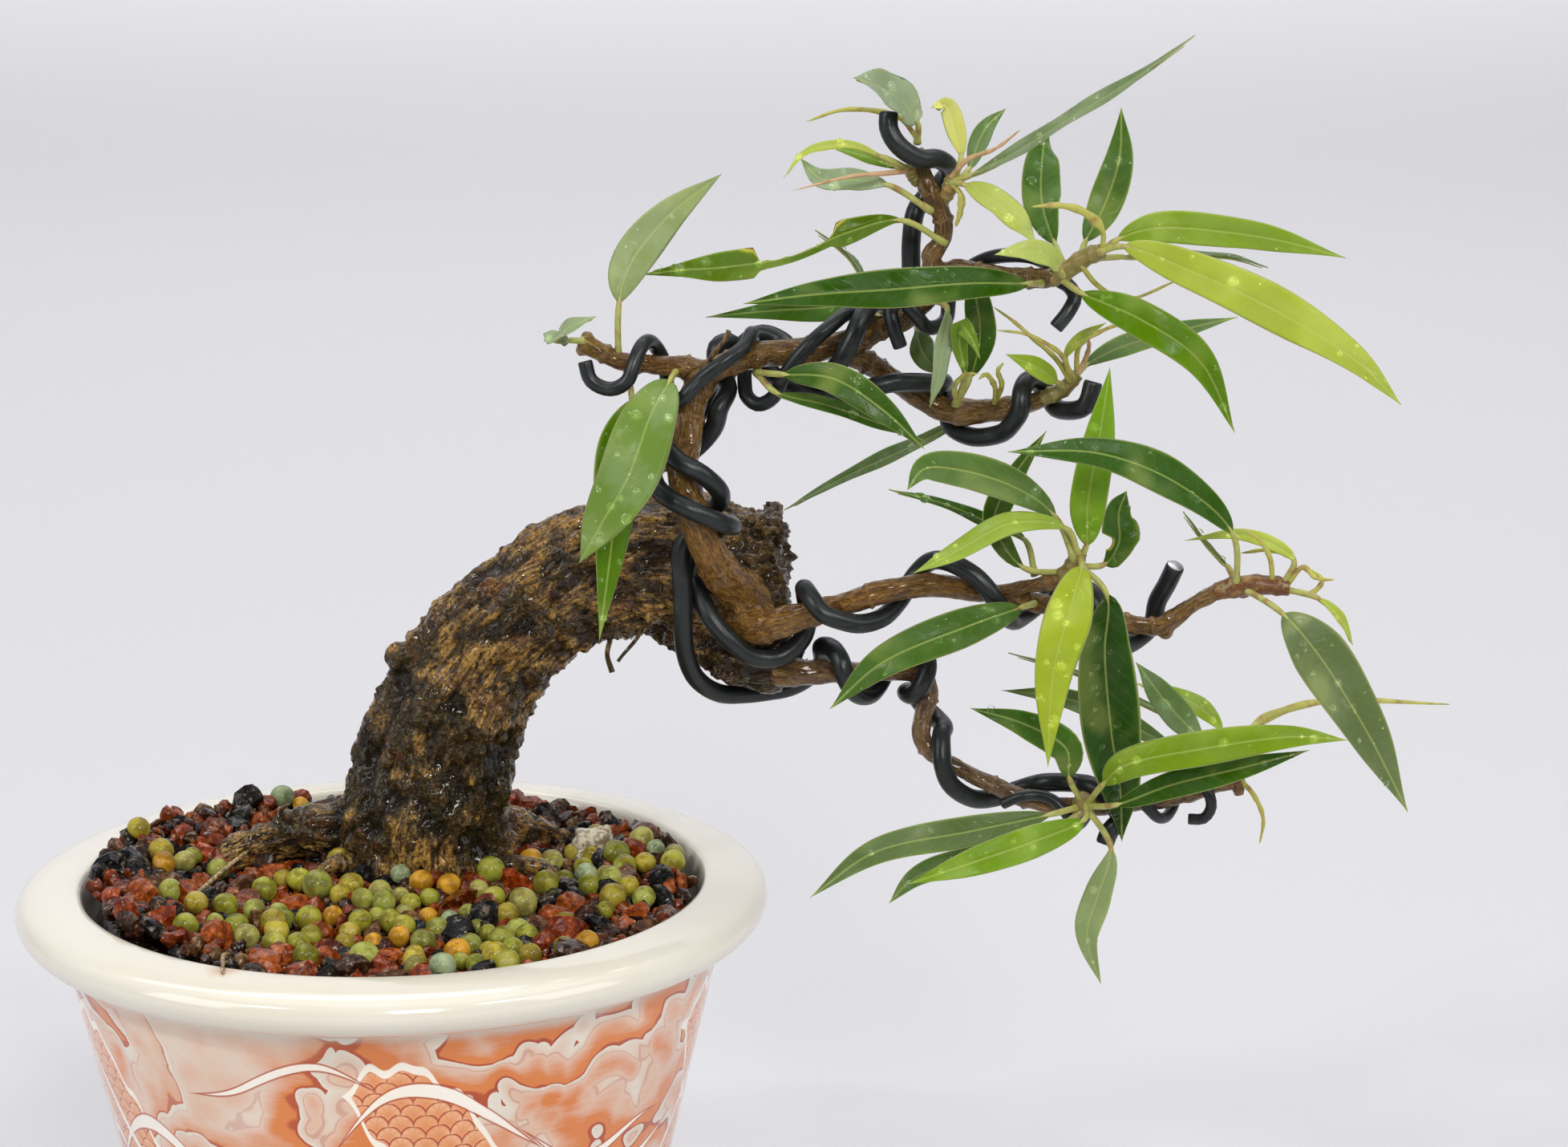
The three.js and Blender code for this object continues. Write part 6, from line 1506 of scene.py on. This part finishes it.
def blade_place(row, share, across, phase):
    """Mid surface and axes of a blade: centre + side*half*v + front*(0.16*half*|v|^1.2 + rim waves)."""
    kind, width, facing, bite, points = row
    start = 1 / (len(points) - 1)
    centre, along, side, front = frames_along(
        points, start + share * (1 - start), unit(np.array(facing, float)))
    half = half_width(share, width, kind)
    reach = half * np.ones_like(across)
    burn = np.zeros_like(reach)
    if bite:
        edge_side, low, high, depth = bite
        inside = step(share, low - 0.02, low + 0.03) * (1 - step(share, high - 0.02, high + 0.005))
        ragged = 1 + 0.1 * np.sin(share * 95 + phase) + 0.06 * np.sin(share * 211)
        on_side = np.sign(across) == edge_side
        reach = reach * np.where(
            on_side, 1 - np.clip(depth * inside * ragged, 0, 0.96), 1 - 0.5 * depth * depth * inside)
        near_bite = 1 - step(np.minimum(np.abs(share - low), np.abs(share - high)), 0.0, 0.07)
        burn = np.where(on_side, np.abs(across) ** 3 * np.maximum(near_bite, inside), 0)
    waves = 0.05 * width * np.abs(across) ** 2 * np.sin(
        2 * np.pi * 2.3 * share + phase + 1.3 * np.sign(across))
    waves = waves * np.sin(np.pi * np.clip(share, 0, 1))
    lift = 0.16 * reach * np.abs(across) ** 1.2 + waves
    place = centre + side * (reach * across)[..., None] + front * lift[..., None]
    return place, along, side, front, reach, burn


def blade(row, tint, phase, number):
    """A closed thin blade: the upper face bears a groove on the midrib, the lower face a ridge."""
    _, _, _, bite, points = row
    length = path_length(np.array(points, float)[1:])
    rows = int(np.clip(length * (1.5 if bite else 0.95), 16, 56))
    share = np.linspace(0, 1, rows) ** 0.96 * 0.996
    steps = np.linspace(-1, 1, BLADE_COLUMNS)
    across = steps * (0.6 + 0.4 * np.abs(steps))
    ring = np.concatenate([across, across[-2:0:-1]])
    below = np.concatenate([np.zeros(BLADE_COLUMNS), np.ones(BLADE_COLUMNS - 2)])
    grid_share = np.repeat(share, len(ring))
    grid_across = np.tile(ring, rows)
    under = np.tile(below, rows)
    place, _, _, front, reach, burn = blade_place(row, grid_share, grid_across, phase)
    offset = reach * grid_across
    inner = 1 - np.abs(grid_across) ** 6
    slimming = 1 - 0.75 * grid_share
    thick = inner * (0.09 + 0.08 * np.exp(-(offset / 0.8) ** 2)) * (0.4 + 0.6 * slimming)
    groove = GROOVE[0] * np.exp(-(offset / GROOVE[1]) ** 2) * slimming
    ridge = RIDGE[0] * np.exp(-(offset / RIDGE[1]) ** 2) * slimming
    place += front * np.where(under > 0, -thick - ridge, thick - groove)[:, None]
    foot, tip = place[:len(ring)].mean(0), np.array(points[-1], float)
    marks = np.stack([grid_share * length + LEAF_SHIFT * number, offset, np.abs(grid_across)], axis=1)
    marks = np.vstack([marks, [[LEAF_SHIFT * number, 0, 0], [length + LEAF_SHIFT * number, 0, 1]]])
    marks = {
        "leaf": marks, "tint": np.tile(tone(tint)[:3], (len(marks), 1)),
        "under": np.append(under, [0.0, 0.0]), "burn": np.append(burn, [0.0, 0.0]),
    }
    return {"points": np.vstack([place, foot, tip]), "faces": tube_faces(rows, len(ring)), "marks": marks}


def plain_marks(count, tint, number):
    """The same marks as a blade has, for stalks, rolled leaves and beads."""
    return {
        "leaf": np.tile([LEAF_SHIFT * number, 0.0, 0.5], (count, 1)),
        "tint": np.tile(tone(tint)[:3], (count, 1)), "under": np.zeros(count), "burn": np.zeros(count)}


def green_tube(points, facing, share, across, deep, shift, tint, number):
    """A tube along the midrib with half axes across and deep, set back from the blade by shift."""
    centre, _, side, front = frames_along(points, share, unit(np.array(facing, float)))
    angle = np.arange(TUBE_SIDES) * 2 * np.pi / TUBE_SIDES
    ring = (side[:, None] * (np.sin(angle) * across[:, None])[..., None]
            + front[:, None] * (np.cos(angle) * deep[:, None])[..., None])
    centre = centre - front * shift[:, None]
    surface = (centre[:, None] + ring).reshape(-1, 3)
    surface = np.vstack([surface, centre[:1], centre[-1:]])
    marks = plain_marks(len(surface), tint, number)
    return {"points": surface, "faces": tube_faces(len(share), TUBE_SIDES), "finish": 1, "marks": marks}


def stalk(row, tint, number):
    """Stalk and midrib in one: 0.5 mm in radius, thinning to a thread along the blade, foot in the bark."""
    _, _, facing, _, points = row
    points = np.array(points, float)
    points[0] -= unit(points[1] - points[0]) * STALK_ROOTED
    start = 1 / (len(points) - 1)
    share = np.concatenate([np.linspace(0, start, 8), np.linspace(start, 0.96, 18)[1:]])
    run = np.clip((share - start) / (1 - start), 0, 1)
    size = np.where(run > 0, 0.3 * (1 - run) ** 0.8 + 0.05, STALK_RADIUS)
    size = np.where((run <= 0) & (share < start * 0.25), STALK_RADIUS * 1.3, size)
    size[7] = 0.42
    return green_tube(points, facing, share, size, size, 0.4 * step(run, 0, 0.08), tint, number)


def leaf_scars(angle, share):
    """Radius share of a green stem: 1 + 0.14*|sin 13s|^6 for its scar rings + 0.05*sin(3*angle + 11s)."""
    return 1 + 0.14 * np.abs(np.sin(13 * share)) ** 6 + 0.05 * np.sin(3 * angle + 11 * share)


def rolled_leaf(row, tint, number):
    """A young leaf still rolled up, or a bud scale: half width W/2*(1-0.6s), closing to a point."""
    _, width, facing, _, points = row
    start = 1 / (len(points) - 1)
    share = np.linspace(0, 0.998, ROLLED_STEPS)
    run = np.clip((share - start) / (1 - start), 0, 1)
    point = np.sqrt(np.clip(1 - (np.maximum(run - 0.7, 0) / 0.3) ** 2, 0, 1)) * (1 - 0.6 * run) + 0.02
    blend_in = step(run, 0, 0.12)
    swell = 0.5 * width * (1 + 0.12 * np.sin(run * 21 + number)) * point
    across = (1 - blend_in) * 0.42 + blend_in * swell
    deep = (1 - blend_in) * 0.42 + blend_in * np.minimum(swell, 0.45)
    return green_tube(points, facing, share, across, deep, np.zeros(ROLLED_STEPS), tint, number)


def rain_beads(row, sizes, places, phase, tint, number):
    """Flattened clear beads at (share, across) places on the side of the blade that faces out."""
    place, along, _, front, _, _ = blade_place(row, places[:, 0], places[:, 1], phase)
    base, faces = ball(1)
    across = np.cross(front, along)
    local = np.stack([along, across, front], axis=1)
    squash = base[None] * np.array([1.0, 1.0, 0.62]) * sizes[:, None, None]
    middle = place + front * (0.3 * sizes[:, None] + 0.1)
    points = (np.einsum("nki,nij->nkj", squash, local) + middle[:, None]).reshape(-1, 3)
    shift = np.arange(len(sizes))[:, None, None] * len(base)
    faces = [(faces[None] + shift).reshape(-1, 3)]
    return {"points": points, "faces": faces, "finish": 2, "marks": plain_marks(len(points), tint, number)}


# A leaf blade: pale midrib and rim, side veins sweeping to the tip, cloudy green and a paler underside.
leaf_skin, source, result = group(
    "leaf surface",
    {
        "Leaf": None, "Tint": (0.2, 0.3, 0.1, 1.0), "Under": 0.0, "Burn": 0.0, "Vein": 0.35, "Rim": 0.5,
        "Mottle": 0.35, "Bloom": 0.3},
    {"Colour": "NodeSocketColor", "Height": "NodeSocketFloat", "Roughness": "NodeSocketFloat"})
given = source.outputs
mark = xyz(given["Leaf"])
flat = joined_xyz(mark[0], mark[1], 0.0)
bend = noise(flat, 0.35, 3.0)
off_rib = calc("ABSOLUTE", mark[1])
sweep_along = minus(mark[0], times(off_rib, 0.95))
vein_place = plus(calc("DIVIDE", sweep_along, 2.1), times(bend, 1.2))
from_vein = calc("ABSOLUTE", minus(calc("FRACT", vein_place), 0.5))
side_vein = times(soft_step(from_vein, 0.12, 0.0), soft_step(mark[2], 0.95, 0.6))
rib = soft_step(off_rib, 0.24, 0.06)
rim = soft_step(mark[2], 0.9, 0.99)
cloudy = noise(flat, 0.09, 2.0, 0.5)
cells = noise(flat, 3.2, 3.0)
deep_green = mixed(1.0, given["Tint"], tone(DEEP_LEAF), "MULTIPLY")
light_green = mixed(0.5, given["Tint"], tone(LIGHT_LEAF))
green = mixed(times(soft_step(cloudy, 0.4, 0.62), given["Mottle"]), given["Tint"], deep_green)
green = mixed(times(soft_step(cloudy, 0.5, 0.32), given["Mottle"]), green, light_green)
green = mixed(given["Under"], green, mixed(0.3, green, tone(UNDERSIDE)))
green = mixed(times(side_vein, given["Vein"]), green, light_green)
# Pale patches: waxy bloom together with painted sheen of a wet film; the Bloom input sets how strong they
# are.
bloom_and_sheen = soft_step(noise(flat, 0.16, 3.0, 0.55), 0.4, 0.62)
green = layered(green, [
    (times(rib, 0.4), RIB),
    (times(rim, given["Rim"]), LEAF_RIM),
    (times(bloom_and_sheen, given["Bloom"]), BLOOM_AND_PAINTED_SHEEN),
    (soft_step(given["Burn"], 0.15, 0.5), SCORCH_EDGE),
    (soft_step(given["Burn"], 0.5, 0.75), SCORCH)])
rise = minus(times(cells, 0.4), times(side_vein, 0.25))
gloss = plus(0.15, times(bloom_and_sheen, 0.28))
feed(result, Colour=green, Height=rise, Roughness=gloss)


def leaf_finish(name, vein, rim_share, mottle, bloom_and_sheen_share, through):
    """A leaf material: the shared surface with its own shares, and some light let through the blade."""
    material, tree, shader = finish(
        name, IOR=1.42, Specular_IOR_Level=0.12, Subsurface_Weight=through, Subsurface_Scale=0.0006,
        Subsurface_Radius=(0.6, 1.0, 0.2))
    used = placed(
        tree, leaf_skin, Vein=vein, Rim=rim_share, Mottle=mottle, Bloom=bloom_and_sheen_share,
        Leaf=point_mark(tree, "leaf", "Vector"),
        Tint=point_mark(tree, "tint", "Color"),
        Under=point_mark(tree, "under", "Fac"),
        Burn=point_mark(tree, "burn", "Fac"))
    feed(shader, Base_Color=used.outputs["Colour"], Roughness=used.outputs["Roughness"])
    bumped(shader, used.outputs["Height"], 0.4, 0.00012)
    return material


leaf_finishes = {
    "leaf_dark": leaf_finish("dark green leaf", 0.04, 0.5, 0.3, 0.02, 0.12),
    "leaf_grey_green": leaf_finish("grey green leaf", 0.035, 0.35, 0.2, 0.12, 0.12),
    "leaf_fresh": leaf_finish("fresh green leaf", 0.05, 0.5, 0.25, 0.02, 0.25),
    "leaf_young": leaf_finish("young yellow green leaf", 0.08, 0.4, 0.25, 0.03, 0.35),
}
stalk_skin, tree, shader = finish(
    "leaf stalk", Roughness=0.35, IOR=1.45, Subsurface_Weight=0.25, Subsurface_Scale=0.0008,
    Subsurface_Radius=(0.8, 1.0, 0.4))
place = object_place(tree)
tint = point_mark(tree, "tint", "Color")
blotch = noise(place, 520.0, 4.0)
colour = mixed(soft_step(blotch, 0.48, 0.7), tint, tone(STALK_BROWN))
colour = mixed(times(soft_step(blotch, 0.42, 0.3), 0.25), colour, tone(STALK_PALE))
feed(shader, Base_Color=colour)
bumped(shader, noise(place, 1500.0, 3.0), 0.3, 0.0001)
rain, tree, shader = finish(
    "rain bead", Base_Color=(1, 1, 1, 1), Roughness=0.0, IOR=1.33, Transmission_Weight=1.0)
ripple = noise(object_place(tree), 900.0, 1.0)
bumped(shader, ripple, 0.05, 0.0001)
lit_through = node(tree, "ShaderNodeMixShader", {
    0: node(tree, "ShaderNodeLightPath").outputs["Is Shadow Ray"], 1: shader.outputs[0],
    2: node(tree, "ShaderNodeBsdfTransparent").outputs[0]}).outputs[0]
feed(tree.nodes["Material Output"], Surface=lit_through)

leaf_draws = np.random.default_rng(LEAF_SEED)
number = 0
for name, (slot, rows, stem_rows) in SHOOTS.items():
    parts = []
    for order, row in enumerate(rows):
        number += 1
        kind = row[0]
        shade = np.array(LEAF_TONES_WITH_PAINTED_LIGHT.get((name, order), LEAF_TONES[kind]))
        shade = shade * leaf_draws.uniform(0.98, 1.02, 3)
        phase = leaf_draws.uniform(0, 6.28)
        if kind in SLIM_KINDS:
            parts.append(rolled_leaf(row, shade, number))
            continue
        parts.append(blade(row, shade, phase, number))
        parts.append(stalk(row, STALK_TONE, number))
        length = path_length(np.array(row[4], float)[1:])
        drops = int(length * row[1] / 20 * leaf_draws.uniform(0.3, 1.7)) + 2
        sizes = 0.15 + 0.75 * leaf_draws.random(drops) ** 3
        along = leaf_draws.uniform(0.08, 0.93, drops)
        places = np.stack([along, leaf_draws.uniform(-0.8, 0.8, drops)], axis=1)
        parts.append(rain_beads(row, sizes, places, phase, shade, number))
    if stem_rows:
        first, second = np.array(stem_rows[0]), np.array(stem_rows[1])
        into_wood = first - (second - first) * (2.0 / np.linalg.norm((second - first)[:3]))
        into_wood[3] *= 0.7
        green_stem = stem(
            [into_wood, *stem_rows], VIEWER, GREEN_STEM_SIDES, GREEN_STEM_STEPS, relief=leaf_scars)
        green_stem["marks"] = plain_marks(
            len(green_stem["points"]), STEM_TONES.get(name, STEM_TONE), number)
        green_stem["finish"] = 1
        parts.append(green_stem)
    piece = add_mesh(name.replace("leaves", "blades").replace("leaf", "blade"), parts,
                     [leaf_finishes[slot], stalk_skin, rain])
    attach(piece, "root")
    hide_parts(name)


# The stage: a pale paper sweep, big soft lamps all round, and the photograph's own viewing angle.
# None of it is part of the bonsai.

FOCAL_PIXELS = 4500.0
PHOTO_WIDTH = 1955.0
CAMERA_PLACE = (0.0626, -0.5553, 0.2605)
CAMERA_PITCH = 12.8
SWEEP_PROFILE = [(-4.0, 0.0), (1.2, 0.0), (2.0, 0.04), (2.5, 0.25), (2.75, 0.75), (2.8, 1.6), (2.8, 4.0)]
SWEEP_HALF_WIDTH = 5.0
SWEEP_ROWS = 60
SWEEP_COLUMNS = 24
SWEEP_GAP = 0.05
PAPER_FLOOR = (209, 209, 212)
PAPER_WALL = (236, 236, 240)
ROOM_TONE = (246, 246, 250)
LAMPS = [
    # name, place, aim, width, height, watts, colour
    ("roof", (0.1, 0.1, 1.9), (0.05, 0.0, 0.1), 2.2, 1.8, 10.0, (255, 254, 252)),
    ("front_box", (0.5, -2.4, 1.5), (0.05, 0.0, 0.12), 0.55, 0.55, 26.0, (255, 253, 250)),
    ("left_window", (-1.6, -1.0, 1.0), (0.05, 0.0, 0.12), 1.0, 1.2, 11.0, (253, 253, 255)),
    ("right_window", (1.7, -0.9, 1.1), (0.05, 0.0, 0.12), 1.0, 1.2, 9.0, (255, 253, 250)),
    ("backdrop_glow", (0.0, 1.2, 2.2), (0.0, 2.6, 0.2), 3.0, 1.2, 32.0, (255, 254, 255)),
    ("left_tube_a", (-0.62, -0.72, 0.86), (0.0, -0.05, 0.08), 0.035, 0.05, 1.1, (255, 255, 255)),
    ("left_tube_b", (-0.53, -0.75, 0.86), (0.0, -0.05, 0.08), 0.035, 0.05, 1.1, (255, 255, 255)),
    ("right_tube_a", (0.56, -0.72, 0.86), (0.0, -0.05, 0.08), 0.035, 0.05, 1.1, (255, 255, 255)),
    ("right_tube_b", (0.65, -0.69, 0.86), (0.0, -0.05, 0.08), 0.035, 0.05, 1.1, (255, 255, 255)),
]


def aimed(place, aim, kind, name):
    """A camera or lamp at a place, turned so that it looks at its aim with its own Y upwards."""
    thing = bpy.data.objects.new(name, kind)
    thing.location = place
    thing.rotation_euler = (Vector(aim) - Vector(place)).to_track_quat("-Z", "Y").to_euler()
    bpy.context.scene.collection.objects.link(thing)
    return thing


paper, tree, shader = finish("pale paper", Roughness=0.9)
fibres = noise(object_place(tree), 40.0, 3.0)
rise = xyz(object_place(tree))[2]
feed(shader, Base_Color=mixed(soft_step(rise, 0.0, 0.15), tone(PAPER_FLOOR), tone(PAPER_WALL)))
bumped(shader, fibres, 0.05, 0.001)
sweep_line = spline_points(SWEEP_PROFILE, np.linspace(0, 1, SWEEP_ROWS))
sweep_x = np.linspace(-SWEEP_HALF_WIDTH, SWEEP_HALF_WIDTH, SWEEP_COLUMNS)
sweep_y = np.repeat(sweep_line[:, 0], SWEEP_COLUMNS)
sweep_z = np.repeat(sweep_line[:, 1], SWEEP_COLUMNS)
sweep_points = np.stack([np.tile(sweep_x, SWEEP_ROWS), sweep_y, sweep_z], axis=1) * 1000 - [0, 0, SWEEP_GAP]
sweep_faces = [grid_faces(SWEEP_ROWS, SWEEP_COLUMNS, closed=False)]
sweep = add_mesh("paper_sweep", [{"points": sweep_points, "faces": sweep_faces}], [paper])

for name, place, aim, width, height, watts, colour in LAMPS:
    lamp = bpy.data.lights.new(name, "AREA")
    lamp.shape = "RECTANGLE"
    lamp.size = width
    lamp.size_y = height
    lamp.energy = watts
    lamp.color = tone(colour)[:3]
    aimed(place, aim, lamp, name)

# The room is dim on the viewer's side, so that gloss shows the lamps and the greens stay deep.
world = bpy.data.worlds.new("studio")
world.use_nodes = True
room = world.node_tree
background = room.nodes["Background"]
heading = xyz(node(room, "ShaderNodeTexCoord").outputs["Generated"])
forward = minus(heading[1], times(heading[2], -0.5))
ramp = node(room, "ShaderNodeMapRange", {0: forward, 1: -0.7, 2: 0.5, 3: 0.06, 4: 0.5})
feed(background, Color=tone(ROOM_TONE), Strength=ramp.outputs[0])
bpy.context.scene.world = world
bpy.context.scene.view_settings.view_transform = "Standard"

lens = bpy.data.cameras.new("photo_camera")
lens.sensor_width = 36.0
lens.lens = lens.sensor_width * FOCAL_PIXELS / PHOTO_WIDTH
lens.clip_start = 0.01
camera = bpy.data.objects.new("photo_camera", lens)
camera.location = CAMERA_PLACE
camera.rotation_euler = (np.radians(90 - CAMERA_PITCH), 0, 0)
bpy.context.scene.collection.objects.link(camera)
bpy.context.scene.camera = camera
